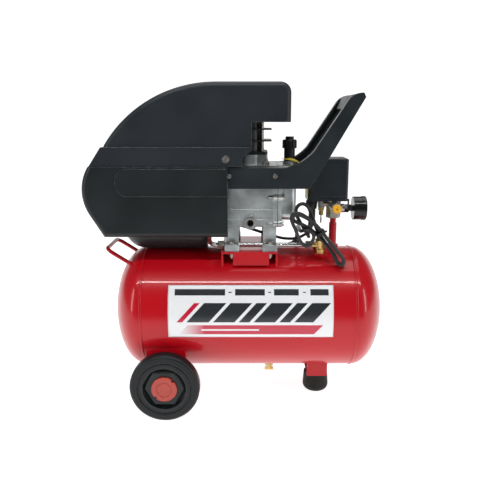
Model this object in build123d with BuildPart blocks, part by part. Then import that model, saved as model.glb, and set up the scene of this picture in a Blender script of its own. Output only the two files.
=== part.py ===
from build123d import *
import math
import os

os.makedirs("parts", exist_ok=True)

# ---------------------------------------------------------------------------
# Driving dimensions, in millimetres.  +Z is up, -Y is the front, and the
# origin lies on the floor under the middle of the object.
# ---------------------------------------------------------------------------
tank_diameter = 250.0
tank_length = 550.0
tank_wall = 2.0
tank_axis_height = 193.0
shroud_reach = 318.0            # from the tank's middle to the shroud's left end
shroud_wall = 2.5
shroud_half_width = 90.0
shroud_top = 647.0
wheel_diameter = 137.0
wheel_width = 30.0
wheel_spacing = 270.0           # between the two wheels' middle planes
wheel_offset = -164.0           # from the tank's middle
foot_offset = 146.0             # from the tank's middle
foot_diameter = 55.0
shaft_height = 431.0
shaft_diameter = 20.0
cylinder_bore = 47.0
piston_stroke = 38.0
rod_length = 115.0
crankcase_top = 491.0
crankcase_bottom = 371.0
crankcase_half_width = 60.0
handle_half_width = 85.0
handle_top = 627.0
mount_bolt = 8.0
axle_bolt = 12.0
cord_diameter = 7.0

# Clearances that the fits are made with.
running_clearance = 0.06        # radial, a shaft turning in a bore
thread_clearance = 0.05         # radial, a nut on its bolt
hole_clearance = 0.4            # radial, a bolt through a plate
face_clearance = 0.4            # axial, beside a part that turns
side_clearance = 0.5            # round soft or curved neighbours

# The tank's middle stands to the right of the origin, because the shroud
# reaches further left than the tank's end reaches right.
cx = (shroud_reach - tank_length / 2) / 2
tank_r = tank_diameter / 2
head_depth = tank_diameter / 4
barrel_half = tank_length / 2 - head_depth
tank_z = tank_axis_height


def front_plane(x, y, z):
    """A plane that faces the front: its x is +X, its y is +Z, its normal -Y."""
    return Plane(origin=(x, y, z), x_dir=(1, 0, 0), z_dir=(0, -1, 0))


def right_plane(x, y, z):
    """A plane that faces right: its x is +Y, its y is +Z, its normal +X."""
    return Plane(origin=(x, y, z), x_dir=(0, 1, 0), z_dir=(1, 0, 0))


def top_plane(x, y, z):
    """A plane that faces up: its x is +X, its y is +Y, its normal +Z."""
    return Plane(origin=(x, y, z), x_dir=(1, 0, 0), z_dir=(0, 0, 1))


def tank_port_plane(x, angle, radius):
    """A plane square to the tank's radius, `angle` degrees from the top towards the front."""
    lean = math.radians(angle)
    origin = (x, -radius * math.sin(lean), tank_z + radius * math.cos(lean))
    return Plane(origin=origin, x_dir=(1, 0, 0), z_dir=(0, -math.sin(lean), math.cos(lean)))


def save(builder, name):
    builder.part.label = name
    export_step(builder.part, f"parts/{name}.step")


# The tank's outer body, used only to trim what is welded to it.
tank_solid = Pos(cx, 0, tank_z) * Rot(0, 90, 0) * Cylinder(tank_r, 2 * barrel_half)
for end in (-1, 1):
    dome = scale(Rot(0, 90, 0) * Sphere(tank_r), by=(head_depth / tank_r, 1, 1))
    tank_solid += Pos(cx + end * barrel_half, 0, tank_z) * dome

# ---------------------------------------------------------------------------
# Air tank
# ---------------------------------------------------------------------------
drain_x = cx + 44
riser_x = cx + 174
check_x = cx + 143
check_angle = 18.0
drain_angle = 180.0
port_socket_r = 12.0
port_thread_r = 6.6
port_height = 7.0
ports = [(drain_x, drain_angle), (riser_x, 0.0), (check_x, check_angle)]
weld_width = 5.0
weld_height = 1.4

with BuildPart() as tank_barrel:
    with BuildSketch(right_plane(cx, 0, tank_z)):
        Circle(tank_r)
        Circle(tank_r - tank_wall, mode=Mode.SUBTRACT)
    extrude(amount=barrel_half, both=True)
    with BuildSketch(front_plane(cx, 0, tank_z)):
        with Locations((-barrel_half + weld_width / 2, tank_r), (barrel_half - weld_width / 2, tank_r)):
            Ellipse(weld_width / 2, weld_height)
    revolve(axis=Axis((cx, 0, tank_z), (1, 0, 0)))
    for port_x, port_angle in ports:
        with BuildSketch(tank_port_plane(port_x, port_angle, tank_r - 3 * tank_wall)):
            Circle(port_socket_r - port_thread_r / 2)
        extrude(amount=5 * tank_wall, mode=Mode.SUBTRACT)
save(tank_barrel, "tank_barrel")

with BuildPart() as tank_ends:
    with BuildSketch(front_plane(cx + barrel_half, 0, tank_z)):
        with BuildLine():
            EllipticalCenterArc((0, 0), head_depth, tank_r, 0, arc_size=90)
            EllipticalCenterArc((0, 0), head_depth - tank_wall, tank_r - tank_wall, 0, arc_size=90)
            Line((head_depth, 0), (head_depth - tank_wall, 0))
            Line((0, tank_r), (0, tank_r - tank_wall))
        make_face()
    revolve(axis=Axis((cx, 0, tank_z), (1, 0, 0)))
    mirror(about=Plane(origin=(cx, 0, tank_z), z_dir=(1, 0, 0)))
save(tank_ends, "tank_ends")

with BuildPart() as tank_ports:
    for port_x, port_angle in ports:
        with BuildSketch(tank_port_plane(port_x, port_angle, tank_r - port_height)):
            Circle(port_socket_r)
        extrude(amount=2 * port_height)
    add(tank_solid, mode=Mode.SUBTRACT)
    for port_x, port_angle in ports:
        with BuildSketch(tank_port_plane(port_x, port_angle, tank_r - port_height)):
            Circle(port_thread_r)
        extrude(amount=3 * port_height, mode=Mode.SUBTRACT)
save(tank_ports, "tank_ports")

# Bent rod that is welded to the left end, to pull the machine along by.
rod_r = 4.0
rod_bend_r = 14.0
rod_half_span = 51.0
rod_reach = 285.0
rod_bar_z = tank_z + 132
rod_foot_z = tank_z + 98
rod_foot_x = 232.0
with BuildPart() as tank_handle_rod:
    with BuildLine() as rod_line:
        FilletPolyline(
            (cx - rod_foot_x, -rod_half_span, rod_foot_z),
            (cx - rod_reach, -rod_half_span, rod_bar_z),
            (cx - rod_reach, rod_half_span, rod_bar_z),
            (cx - rod_foot_x, rod_half_span, rod_foot_z),
            radius=rod_bend_r,
        )
    with BuildSketch(Plane(origin=rod_line.line @ 0, z_dir=rod_line.line % 0)):
        Circle(rod_r)
    sweep()
    add(tank_solid, mode=Mode.SUBTRACT)
save(tank_handle_rod, "tank_handle_rod")

# ---------------------------------------------------------------------------
# Platform that carries the pump: a bent plate welded on top of the tank
# ---------------------------------------------------------------------------
plate = 4.0
platform_top = tank_z + tank_r + 7
platform_left = cx - 54
platform_right = cx + 57
platform_half_depth = 78.0
feet_x = [cx - 32.6, cx + 41.4]
feet_y = [-67.0, 67.0]
tab_left = cx - 31
tab_right = cx + 40
tab_drop = 27.0
platform_mid_x = (platform_left + platform_right) / 2
platform_length = platform_right - platform_left

with BuildPart() as pump_platform:
    with BuildSketch(top_plane(platform_mid_x, 0, platform_top - plate)):
        RectangleRounded(platform_length, 2 * platform_half_depth, 3)
    extrude(amount=plate)
    for leg_x in (platform_left + plate / 2, platform_right - plate / 2):
        with BuildSketch(top_plane(leg_x, 0, platform_top - plate)):
            Rectangle(plate, 2 * platform_half_depth - 2 * plate)
        extrude(amount=-tank_r / 2)
    for side in (-1, 1):
        with BuildSketch(front_plane((tab_left + tab_right) / 2, side * (platform_half_depth - plate / 2), platform_top)):
            with Locations((0, -tab_drop / 2)):
                Rectangle(tab_right - tab_left, tab_drop)
        extrude(amount=plate / 2, both=True)
    add(tank_solid, mode=Mode.SUBTRACT)
    with BuildSketch(top_plane(0, 0, platform_top - 2 * plate)):
        with Locations([(x, y) for x in feet_x for y in feet_y]):
            Circle(mount_bolt / 2 + hole_clearance)
    extrude(amount=3 * plate, mode=Mode.SUBTRACT)
save(pump_platform, "pump_platform")

# ---------------------------------------------------------------------------
# Wheels on their own stub bolts
# ---------------------------------------------------------------------------
wheel_r = wheel_diameter / 2
wheel_x = cx + wheel_offset
wheel_z = wheel_r
wheel_mid = wheel_spacing / 2
wheel_in = wheel_mid - wheel_width / 2
wheel_out = wheel_mid + wheel_width / 2
tyre_inner_r = 46.0
groove_r = 52.0
hub_boss_r = 20.0
hub_web = 14.0
hub_pocket_r = 13.5
cap_r = 25.0
cap_thickness = 4.0
dish_flat = 39.0
dish_taper = 55.0
dish_height = 5.0
axle_r = axle_bolt / 2
axle_head = 7.5
bracket_out = wheel_in - 8.0
bracket_plate = 4.0
bracket_top_width = 78.0
bracket_boss_r = 17.0


def wheel_plane(side, distance):
    """A plane square to the axle, whose normal points away from the object."""
    x_dir = (1, 0, 0) if side < 0 else (-1, 0, 0)
    return Plane(origin=(wheel_x, side * distance, wheel_z), x_dir=x_dir, z_dir=(0, side, 0))


for side, end_name in ((-1, "front"), (1, "rear")):
    wheel_axis = Axis((wheel_x, 0, wheel_z), (0, 1, 0))
    with BuildPart() as tyre:
        with BuildSketch(Plane(origin=(wheel_x, side * wheel_mid, wheel_z), z_dir=(0, 0, 1))):
            with Locations(((tyre_inner_r + wheel_r) / 2, 0)):
                Rectangle(wheel_r - tyre_inner_r, wheel_width - 2)
            fillet(vertices().group_by(Axis.X)[-1], 7)
            with Locations((groove_r, wheel_width / 2), (groove_r, -wheel_width / 2)):
                Rectangle(2.5, 5, mode=Mode.SUBTRACT)
        revolve(axis=wheel_axis)
    save(tyre, f"tyre_{end_name}")

    with BuildPart() as hub:
        with BuildSketch(wheel_plane(side, wheel_in + 1)):
            Circle(tyre_inner_r)
            Circle(tyre_inner_r - 4, mode=Mode.SUBTRACT)
        extrude(amount=wheel_width - 2)
        with BuildSketch(wheel_plane(side, wheel_out - 8 - hub_web)):
            Circle(tyre_inner_r)
        extrude(amount=hub_web)
        with BuildSketch(wheel_plane(side, wheel_in + 1)):
            Circle(hub_boss_r)
        extrude(amount=wheel_width - 10)
        with BuildSketch(wheel_plane(side, wheel_out - 8)):
            RegularPolygon(dish_flat, 6, major_radius=False)
        extrude(amount=dish_height, taper=dish_taper)
        with BuildSketch(wheel_plane(side, wheel_in)):
            Circle(axle_r + running_clearance)
        extrude(amount=wheel_width, mode=Mode.SUBTRACT)
        with BuildSketch(wheel_plane(side, wheel_out - 3 - axle_head - 1)):
            Circle(hub_pocket_r)
        extrude(amount=axle_head + 2, mode=Mode.SUBTRACT)
    save(hub, f"wheel_hub_{end_name}")

    with BuildPart() as cap:
        with BuildSketch(wheel_plane(side, wheel_out - 3)):
            Circle(cap_r)
            with Locations(Location((0, 0), 45), Location((0, 0), 225)):
                with Locations((cap_r, 0)):
                    Rectangle(6, 5, mode=Mode.SUBTRACT)
        extrude(amount=cap_thickness)
        fillet(cap.edges().group_by(Axis.Y)[-1 if side > 0 else 0], 1)
        with BuildSketch(wheel_plane(side, wheel_out - 3 + cap_thickness)):
            Circle(0.62 * cap_r)
            Circle(0.52 * cap_r, mode=Mode.SUBTRACT)
        extrude(amount=-0.8, mode=Mode.SUBTRACT)
    save(cap, f"wheel_cap_{end_name}")

with BuildPart() as axle_bolts:
    for side in (-1, 1):
        head_start = wheel_out - 3 - axle_head - 1 + face_clearance
        with BuildSketch(wheel_plane(side, head_start)):
            RegularPolygon(9.5, 6, major_radius=False)
        extrude(amount=axle_head)
        with BuildSketch(wheel_plane(side, head_start)):
            Circle(axle_r)
        extrude(amount=bracket_out - bracket_plate - 10 - head_start)
        with BuildSketch(wheel_plane(side, bracket_out)):
            Circle(10)
            Circle(axle_r + thread_clearance, mode=Mode.SUBTRACT)
        extrude(amount=wheel_in + 1 - face_clearance - bracket_out)
        with BuildSketch(wheel_plane(side, bracket_out - bracket_plate)):
            RegularPolygon(9.5, 6, major_radius=False)
            Circle(axle_r + thread_clearance, mode=Mode.SUBTRACT)
        extrude(amount=-8)
save(axle_bolts, "axle_bolts")

with BuildPart() as wheel_brackets:
    for side in (-1, 1):
        with BuildSketch(wheel_plane(side, bracket_out)):
            with BuildLine():
                Polyline(
                    (-bracket_boss_r, 0),
                    (-bracket_top_width / 2, bracket_top_width / 2),
                    (-bracket_top_width / 2, 2 * bracket_top_width),
                    (bracket_top_width / 2, 2 * bracket_top_width),
                    (bracket_top_width / 2, bracket_top_width / 2),
                    (bracket_boss_r, 0),
                )
                ThreePointArc((bracket_boss_r, 0), (0, -bracket_boss_r), (-bracket_boss_r, 0))
            make_face()
        extrude(amount=-bracket_plate)
        for flange_x in (-1, 1):
            flange_y = side * (bracket_out - 20)
            with BuildSketch(top_plane(wheel_x + flange_x * (bracket_top_width - bracket_plate) / 2,
                                       flange_y, wheel_z + bracket_top_width / 2)):
                Rectangle(bracket_plate, 40)
            extrude(amount=2 * bracket_top_width)
    add(tank_solid, mode=Mode.SUBTRACT)
    # What is left above the tank is cut away.
    with BuildSketch(top_plane(wheel_x, 0, tank_z - 10)):
        Rectangle(2 * bracket_top_width, 3 * tank_diameter)
    extrude(amount=tank_diameter, mode=Mode.SUBTRACT)
    for side in (-1, 1):
        with BuildSketch(wheel_plane(side, bracket_out + 1)):
            Circle(axle_r + hole_clearance)
        extrude(amount=-3 * bracket_plate, mode=Mode.SUBTRACT)
save(wheel_brackets, "wheel_brackets")

# ---------------------------------------------------------------------------
# Rubber foot under its own bracket
# ---------------------------------------------------------------------------
foot_x = cx + foot_offset
foot_r = foot_diameter / 2
foot_height = 41.0
foot_bracket_width = 43.0
foot_bracket_depth = 60.0
foot_wall = 3.0
foot_face_r = 19.0
foot_pocket_r = 9.0
foot_pocket_depth = 12.0
m8_head = 5.3
m8_nut = 6.5
m8_flat = 6.5
m8_r = mount_bolt / 2

with BuildPart() as foot_bracket:
    with BuildSketch(right_plane(foot_x, 0, foot_height)):
        with Locations((0, foot_bracket_width / 2)):
            Rectangle(foot_bracket_depth, foot_bracket_width)
        with Locations((0, foot_bracket_width / 2 + foot_wall)):
            Rectangle(foot_bracket_depth - 2 * foot_wall, foot_bracket_width, mode=Mode.SUBTRACT)
    extrude(amount=foot_bracket_width / 2, both=True)
    add(tank_solid, mode=Mode.SUBTRACT)
    with BuildSketch(top_plane(foot_x, 0, foot_height - 1)):
        Circle(m8_r + hole_clearance)
    extrude(amount=3 * foot_wall, mode=Mode.SUBTRACT)
save(foot_bracket, "foot_bracket")

with BuildPart() as rubber_foot:
    with BuildSketch(Plane(origin=(foot_x, 0, 0), x_dir=(1, 0, 0), z_dir=(0, -1, 0))):
        with BuildLine():
            Line((m8_r + hole_clearance, foot_pocket_depth), (foot_pocket_r, foot_pocket_depth))
            Line((foot_pocket_r, foot_pocket_depth), (foot_pocket_r, 0))
            Line((foot_pocket_r, 0), (foot_face_r, 0))
            ThreePointArc((foot_face_r, 0), (foot_r - 2.6, 4.6), (foot_r, 14))
            Line((foot_r, 14), (foot_r - 2, foot_height))
            Line((foot_r - 2, foot_height), (m8_r + hole_clearance, foot_height))
            Line((m8_r + hole_clearance, foot_height), (m8_r + hole_clearance, foot_pocket_depth))
        make_face()
    revolve(axis=Axis((foot_x, 0, 0), (0, 0, 1)))
save(rubber_foot, "rubber_foot")

# ---------------------------------------------------------------------------
# Crankcase: cast body on four feet, open to the right
# ---------------------------------------------------------------------------
case_left = cx - 60
case_right = cx + 56
case_wall = 5.0
foot_flange = 14.0
foot_pad_half = 14.5
pillar_half = 13.0
pillar_y = crankcase_half_width - 4.5
pad_front = 75.0
bearing_r = 23.5
bearing_width = 14.0
bearing_boss_r = 30.0
bearing_left = cx - 46
cyl_x = cx + 0.0
seat_r = 38.0
seat_top = crankcase_top + 20.0
seat_hole_r = cylinder_bore / 2 + 4.0
shaft_r = shaft_diameter / 2
case_mid_z = (crankcase_top + crankcase_bottom) / 2
case_height = crankcase_top - crankcase_bottom
sight_z = 381.0
sight_x = cx + 3
lug_r = 7.0
cover_lugs = [(y, z) for y in (-crankcase_half_width, crankcase_half_width)
              for z in (crankcase_bottom + 8, shaft_height, crankcase_top - 8)]
cyl_bolts = [(dx, dy) for dx in (-26.0, 26.0) for dy in (-26.0, 26.0)]
m6_r = 3.0
tie_rod_r = 3.0
tie_rod_circle = 60.0
tie_rod_places = [(tie_rod_circle * math.cos(a), tie_rod_circle * math.sin(a))
                  for a in (math.radians(45 + 90 * i) for i in range(4))]
handle_screw_x = [cx - 37, cx + 50]
handle_screw_z = 474.0
handle_screw_r = 2.5

with BuildPart() as crankcase:
    with BuildSketch(right_plane(case_left, 0, case_mid_z)):
        RectangleRounded(2 * crankcase_half_width, case_height, 7)
    extrude(amount=case_right - case_left)
    # Ribs that run along the front and the back.
    for side in (-1, 1):
        for rib_z, rib_h in ((crankcase_top - 22, 3.0), (crankcase_bottom + 34, 3.0), (crankcase_bottom + 10, 12.0)):
            with BuildSketch(front_plane((case_left + case_right) / 2, side * crankcase_half_width, rib_z)):
                Rectangle(case_right - case_left, rib_h)
            extrude(amount=1.5, both=True)
    # Flange that the end cover bolts to, with its lugs.
    with BuildSketch(right_plane(case_right - 8, 0, case_mid_z)):
        RectangleRounded(2 * crankcase_half_width + 8, case_height - 2, 9)
        with Locations([(y, z - case_mid_z) for y, z in cover_lugs]):
            Circle(lug_r)
    extrude(amount=8)
    # Seat for the cylinder.
    with BuildSketch(top_plane(cyl_x, 0, crankcase_top - 1)):
        Circle(seat_r)
        Rectangle(1.8 * seat_r, 1.8 * seat_r)
    extrude(amount=seat_top - crankcase_top + 1)
    # Four feet: a pad under a pillar.
    for x in feet_x:
        for y in feet_y:
            outward = 1 if y > 0 else -1
            with BuildSketch(top_plane(x, outward * (pad_front - 12), platform_top)):
                RectangleRounded(2 * foot_pad_half, 24, 2)
            extrude(amount=foot_flange)
            with BuildSketch(top_plane(x, outward * pillar_y, platform_top)):
                Rectangle(2 * pillar_half, 9)
            extrude(amount=crankcase_bottom + 6 - platform_top)
    # Boss round the sight glass.
    with BuildSketch(front_plane(sight_x, -crankcase_half_width + 1, sight_z)):
        Circle(14)
    extrude(amount=5)
    # Inside, bearing housing and bores.
    with BuildSketch(right_plane(case_left + case_wall, 0, case_mid_z)):
        RectangleRounded(2 * (crankcase_half_width - case_wall), case_height - 2 * case_wall, 5)
    extrude(amount=case_right - case_left, mode=Mode.SUBTRACT)
    with BuildSketch(right_plane(case_left, 0, shaft_height)):
        Circle(bearing_boss_r)
    extrude(amount=bearing_left + bearing_width - case_left)
    with BuildSketch(right_plane(case_left - 1, 0, shaft_height)):
        Circle(shaft_r + 2)
    extrude(amount=60, mode=Mode.SUBTRACT)
    with BuildSketch(right_plane(bearing_left, 0, shaft_height)):
        Circle(bearing_r)
    extrude(amount=60, mode=Mode.SUBTRACT)
    with BuildSketch(top_plane(cyl_x, 0, crankcase_top - 2 * case_wall)):
        Circle(seat_hole_r)
    extrude(amount=50, mode=Mode.SUBTRACT)
    # Bolt holes.
    with BuildSketch(right_plane(case_left - 1, 0, shaft_height)):
        with Locations(tie_rod_places):
            Circle(tie_rod_r + thread_clearance)
    extrude(amount=case_wall + 2, mode=Mode.SUBTRACT)
    for side in (-1, 1):
        with BuildSketch(front_plane(0, side * (crankcase_half_width + 5), handle_screw_z)):
            with Locations([(x, 0) for x in handle_screw_x]):
                Circle(handle_screw_r + thread_clearance)
        extrude(amount=side * 12, mode=Mode.SUBTRACT)
    with BuildSketch(top_plane(0, 0, platform_top - 1)):
        with Locations([(x, y) for x in feet_x for y in feet_y]):
            Circle(m8_r + hole_clearance)
    extrude(amount=foot_flange + 2, mode=Mode.SUBTRACT)
    with BuildSketch(right_plane(case_right + 1, 0, 0)):
        with Locations(cover_lugs):
            Circle(m6_r + thread_clearance)
    extrude(amount=-22, mode=Mode.SUBTRACT)
    with BuildSketch(top_plane(cyl_x, 0, seat_top - 14)):
        with Locations(cyl_bolts):
            Circle(m8_r + thread_clearance)
    extrude(amount=20, mode=Mode.SUBTRACT)
    with BuildSketch(front_plane(sight_x, 0, sight_z)):
        Circle(8.5)
    extrude(amount=80, mode=Mode.SUBTRACT)
save(crankcase, "crankcase")

# ---------------------------------------------------------------------------
# End cover, gaskets, cylinder and head
# ---------------------------------------------------------------------------
gasket = 1.0
cover_flange = 8.0
cover_reach = 36.0
cover_wall = 4.0
cover_half_width = 54.0
cover_bottom = crankcase_bottom + 12
cover_left = case_right + gasket
cover_height = crankcase_top - cover_bottom
filler_x = cx + 82
filler_r = 8.0
filler_seat = crankcase_top + 6
piston_crown = 20.0             # from the piston pin up to the piston's top
piston_top = shaft_height + piston_stroke / 2 + rod_length + piston_crown
piston_height = 36.0
piston_pin_r = 6.0
piston_pin_z = piston_top - piston_crown
cyl_bottom = seat_top + gasket
cyl_top = piston_top + face_clearance
cyl_barrel_r = 30.0
cyl_fin_width = 90.0
cyl_fin = 2.6
cyl_flange = 5.0
fin_pitch = 22.0
fins = int((cyl_top - cyl_bottom - cyl_flange) / fin_pitch)
valve_plate_thickness = 4.0
valve_plate_bottom = cyl_top + gasket
head_bottom = valve_plate_bottom + valve_plate_thickness + gasket
head_top = shroud_top - 20.0
head_length = 84.0
inlet_z = head_bottom + 15
port_bore_r = 5.0

with BuildPart() as end_cover:
    with BuildSketch(right_plane(cover_left, 0, case_mid_z)):
        RectangleRounded(2 * crankcase_half_width + 8, case_height - 2, 9)
        with Locations([(y, z - case_mid_z) for y, z in cover_lugs]):
            Circle(lug_r)
    extrude(amount=cover_flange)
    with BuildSketch(right_plane(cover_left, 0, (crankcase_top + cover_bottom) / 2)):
        RectangleRounded(2 * cover_half_width, cover_height, 14)
    extrude(amount=cover_reach)
    fillet(end_cover.edges().group_by(Axis.X)[-1], 11)
    with BuildSketch(top_plane(filler_x, 0, crankcase_top - cover_wall)):
        Circle(filler_r + 5)
    extrude(amount=filler_seat - crankcase_top + cover_wall)
    with BuildSketch(right_plane(cover_left - 1, 0, (crankcase_top + cover_bottom) / 2)):
        RectangleRounded(2 * (cover_half_width - cover_wall), cover_height - 2 * cover_wall, 10)
    extrude(amount=cover_reach + 1 - cover_wall, mode=Mode.SUBTRACT)
    with BuildSketch(top_plane(filler_x, 0, crankcase_top - 2 * cover_wall)):
        Circle(filler_r + running_clearance)
    extrude(amount=30, mode=Mode.SUBTRACT)
    with BuildSketch(right_plane(cover_left - 1, 0, 0)):
        with Locations(cover_lugs):
            Circle(m6_r + hole_clearance)
    extrude(amount=cover_flange + 2, mode=Mode.SUBTRACT)
save(end_cover, "end_cover")

with BuildPart() as gaskets:
    with BuildSketch(right_plane(case_right, 0, case_mid_z)):
        RectangleRounded(2 * crankcase_half_width + 8, case_height - 2, 9)
        with Locations([(y, z - case_mid_z) for y, z in cover_lugs]):
            Circle(lug_r)
        RectangleRounded(2 * (crankcase_half_width - case_wall), case_height - 2 * case_wall, 5, mode=Mode.SUBTRACT)
        with Locations([(y, z - case_mid_z) for y, z in cover_lugs]):
            Circle(m6_r + hole_clearance, mode=Mode.SUBTRACT)
    extrude(amount=gasket)
    for gasket_z in (seat_top, cyl_top, head_bottom - gasket):
        with BuildSketch(top_plane(cyl_x, 0, gasket_z)):
            RectangleRounded(1.8 * seat_r, 1.8 * seat_r, 4)
            Circle(cylinder_bore / 2 + 1, mode=Mode.SUBTRACT)
            with Locations(cyl_bolts):
                Circle(m8_r + hole_clearance, mode=Mode.SUBTRACT)
        extrude(amount=gasket)
save(gaskets, "gaskets")

with BuildPart() as cylinder:
    with BuildSketch(top_plane(cyl_x, 0, cyl_bottom)):
        Circle(cyl_barrel_r)
    extrude(amount=cyl_top - cyl_bottom)
    for flange_z in (cyl_bottom, cyl_top - cyl_flange):
        with BuildSketch(top_plane(cyl_x, 0, flange_z)):
            RectangleRounded(1.95 * seat_r, 1.95 * seat_r, 8)
        extrude(amount=cyl_flange)
    for i in range(1, fins + 1):
        with BuildSketch(top_plane(cyl_x, 0, cyl_bottom + fin_pitch * i + cyl_fin)):
            RectangleRounded(cyl_fin_width, cyl_fin_width - 6, 12)
        extrude(amount=cyl_fin)
    with BuildSketch(top_plane(cyl_x, 0, cyl_bottom - 1)):
        Circle(cylinder_bore / 2)
        with Locations(cyl_bolts):
            Circle(m8_r + hole_clearance)
    extrude(amount=cyl_top - cyl_bottom + 2, mode=Mode.SUBTRACT)
save(cylinder, "cylinder")

with BuildPart() as valve_plate:
    with BuildSketch(top_plane(cyl_x, 0, valve_plate_bottom)):
        RectangleRounded(1.95 * seat_r, 1.95 * seat_r, 8)
        with Locations((-11, 0), (11, -7), (11, 7)):
            Circle(4, mode=Mode.SUBTRACT)
        with Locations(cyl_bolts):
            Circle(m8_r + hole_clearance, mode=Mode.SUBTRACT)
    extrude(amount=valve_plate_thickness)
save(valve_plate, "valve_plate")

with BuildPart() as cylinder_head:
    with BuildSketch(top_plane(cyl_x, 0, head_bottom)):
        RectangleRounded(head_length, head_length, 8)
    extrude(amount=head_top - head_bottom)
    for i in range(-3, 4):
        with BuildSketch(top_plane(cyl_x + 11.5 * i, 0, head_top)):
            Rectangle(8, head_length - 2 * 10, mode=Mode.ADD)
        extrude(amount=-9, mode=Mode.SUBTRACT)
    for chamber_x in (-16, 16):
        with BuildSketch(top_plane(cyl_x + chamber_x, 0, head_bottom)):
            RectangleRounded(22, 44, 5)
        extrude(amount=20, mode=Mode.SUBTRACT)
    with BuildSketch(top_plane(cyl_x, 0, head_bottom - 1)):
        with Locations(cyl_bolts):
            Circle(m8_r + hole_clearance)
    extrude(amount=60, mode=Mode.SUBTRACT)
    with BuildSketch(front_plane(cyl_x - 16, -head_length / 2, inlet_z)):
        Circle(port_bore_r)
    extrude(amount=-25, mode=Mode.SUBTRACT)
    with BuildSketch(right_plane(cyl_x + head_length / 2, 0, inlet_z)):
        Circle(port_bore_r)
    extrude(amount=-25, mode=Mode.SUBTRACT)
save(cylinder_head, "cylinder_head")

with BuildPart() as air_filter:
    with BuildSketch(right_plane(cyl_x + head_length / 2, 0, inlet_z)):
        Circle(port_bore_r + 3)
    extrude(amount=6)
    with BuildSketch(right_plane(cyl_x + head_length / 2 + 6, 0, inlet_z)):
        Circle(22)
    extrude(amount=22)
    fillet(air_filter.edges().group_by(Axis.X)[-1], 4)
    with BuildSketch(right_plane(cyl_x + head_length / 2, 0, inlet_z)):
        Circle(port_bore_r)
    extrude(amount=20, mode=Mode.SUBTRACT)
save(air_filter, "air_filter")

with BuildPart() as pump_bolts:
    with BuildSketch(top_plane(cyl_x, 0, head_top)):
        with Locations(cyl_bolts):
            RegularPolygon(m8_flat, 6, major_radius=False)
    extrude(amount=m8_head)
    with BuildSketch(top_plane(cyl_x, 0, head_top)):
        with Locations(cyl_bolts):
            Circle(m8_r)
    extrude(amount=seat_top - 12 - head_top)
    for y, z in cover_lugs:
        with BuildSketch(right_plane(cover_left + cover_flange, y, z)):
            RegularPolygon(5, 6, major_radius=False)
        extrude(amount=4)
        with BuildSketch(right_plane(cover_left + cover_flange, y, z)):
            Circle(m6_r)
        extrude(amount=-cover_flange - gasket - 18)
save(pump_bolts, "pump_bolts")

with BuildPart() as mounting_bolts:
    for x in feet_x:
        for y in feet_y:
            bolt_end = platform_top - plate - m8_nut - 4
            with BuildSketch(top_plane(x, y, platform_top + foot_flange)):
                RegularPolygon(m8_flat, 6, major_radius=False)
            extrude(amount=m8_head)
            with BuildSketch(top_plane(x, y, bolt_end)):
                Circle(m8_r)
            extrude(amount=platform_top + foot_flange - bolt_end)
            with BuildSketch(top_plane(x, y, platform_top - plate)):
                RegularPolygon(m8_flat, 6, major_radius=False)
                Circle(m8_r + thread_clearance, mode=Mode.SUBTRACT)
            extrude(amount=-m8_nut)
    foot_bolt_start = foot_pocket_depth - m8_head
    with BuildSketch(top_plane(foot_x, 0, foot_bolt_start)):
        RegularPolygon(m8_flat, 6, major_radius=False)
    extrude(amount=m8_head)
    with BuildSketch(top_plane(foot_x, 0, foot_bolt_start)):
        Circle(m8_r)
    extrude(amount=foot_height + foot_wall + m8_nut + 2 - foot_bolt_start)
    with BuildSketch(top_plane(foot_x, 0, foot_height + foot_wall)):
        RegularPolygon(m8_flat, 6, major_radius=False)
        Circle(m8_r + thread_clearance, mode=Mode.SUBTRACT)
    extrude(amount=m8_nut)
save(mounting_bolts, "mounting_bolts")

with BuildPart() as sight_glass:
    with BuildSketch(front_plane(sight_x, -crankcase_half_width - 4, sight_z)):
        RegularPolygon(10.5, 6, major_radius=False)
        Circle(6.5, mode=Mode.SUBTRACT)
    extrude(amount=5)
    with BuildSketch(front_plane(sight_x, -crankcase_half_width - 4, sight_z)):
        Circle(8.5 - thread_clearance)
        Circle(6.5, mode=Mode.SUBTRACT)
    extrude(amount=-8)
    # The lens is a separate disc in the ring.
    with BuildSketch(front_plane(sight_x, -crankcase_half_width - 2, sight_z)):
        Circle(6.5 - thread_clearance)
    extrude(amount=4)
save(sight_glass, "sight_glass")

# ---------------------------------------------------------------------------
# Crank, rod and piston at top dead centre
# ---------------------------------------------------------------------------
crank_pin_r = 8.0
crank_pin_z = shaft_height + piston_stroke / 2
rod_half = 6.0
disc_right = cyl_x - rod_half - 2
disc_left = bearing_left + bearing_width + 6
opened_link_clearance = 0.3     # the shaft turns inside the standing crank disc
shaft_right = disc_right - 1

with BuildPart() as crank_disc:
    with BuildSketch(right_plane(disc_left, 0, shaft_height)):
        Circle(30)
        with Locations((0, -20)):
            RectangleRounded(64, 42, 14)
        Circle(shaft_r + opened_link_clearance, mode=Mode.SUBTRACT)
    extrude(amount=disc_right - disc_left)
    with BuildSketch(right_plane(disc_right, 0, crank_pin_z)):
        Circle(crank_pin_r)
    extrude(amount=2 * rod_half + 4)
    with BuildSketch(right_plane(disc_right, 0, shaft_height)):
        Circle(shaft_r + opened_link_clearance)
    extrude(amount=disc_left - disc_right, mode=Mode.SUBTRACT)
save(crank_disc, "crank_disc")

with BuildPart() as connecting_rod:
    with BuildSketch(right_plane(cyl_x, 0, crank_pin_z)):
        Circle(crank_pin_r + 7)
        with Locations((0, rod_length)):
            Circle(piston_pin_r + 4)
        with Locations((0, rod_length / 2)):
            Rectangle(11, rod_length - 14)
    extrude(amount=rod_half, both=True)
    with BuildSketch(right_plane(cyl_x - rod_half - 1, 0, crank_pin_z)):
        Circle(crank_pin_r + running_clearance)
        with Locations((0, rod_length)):
            Circle(piston_pin_r + running_clearance)
    extrude(amount=2 * rod_half + 2, mode=Mode.SUBTRACT)
save(connecting_rod, "connecting_rod")

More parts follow.
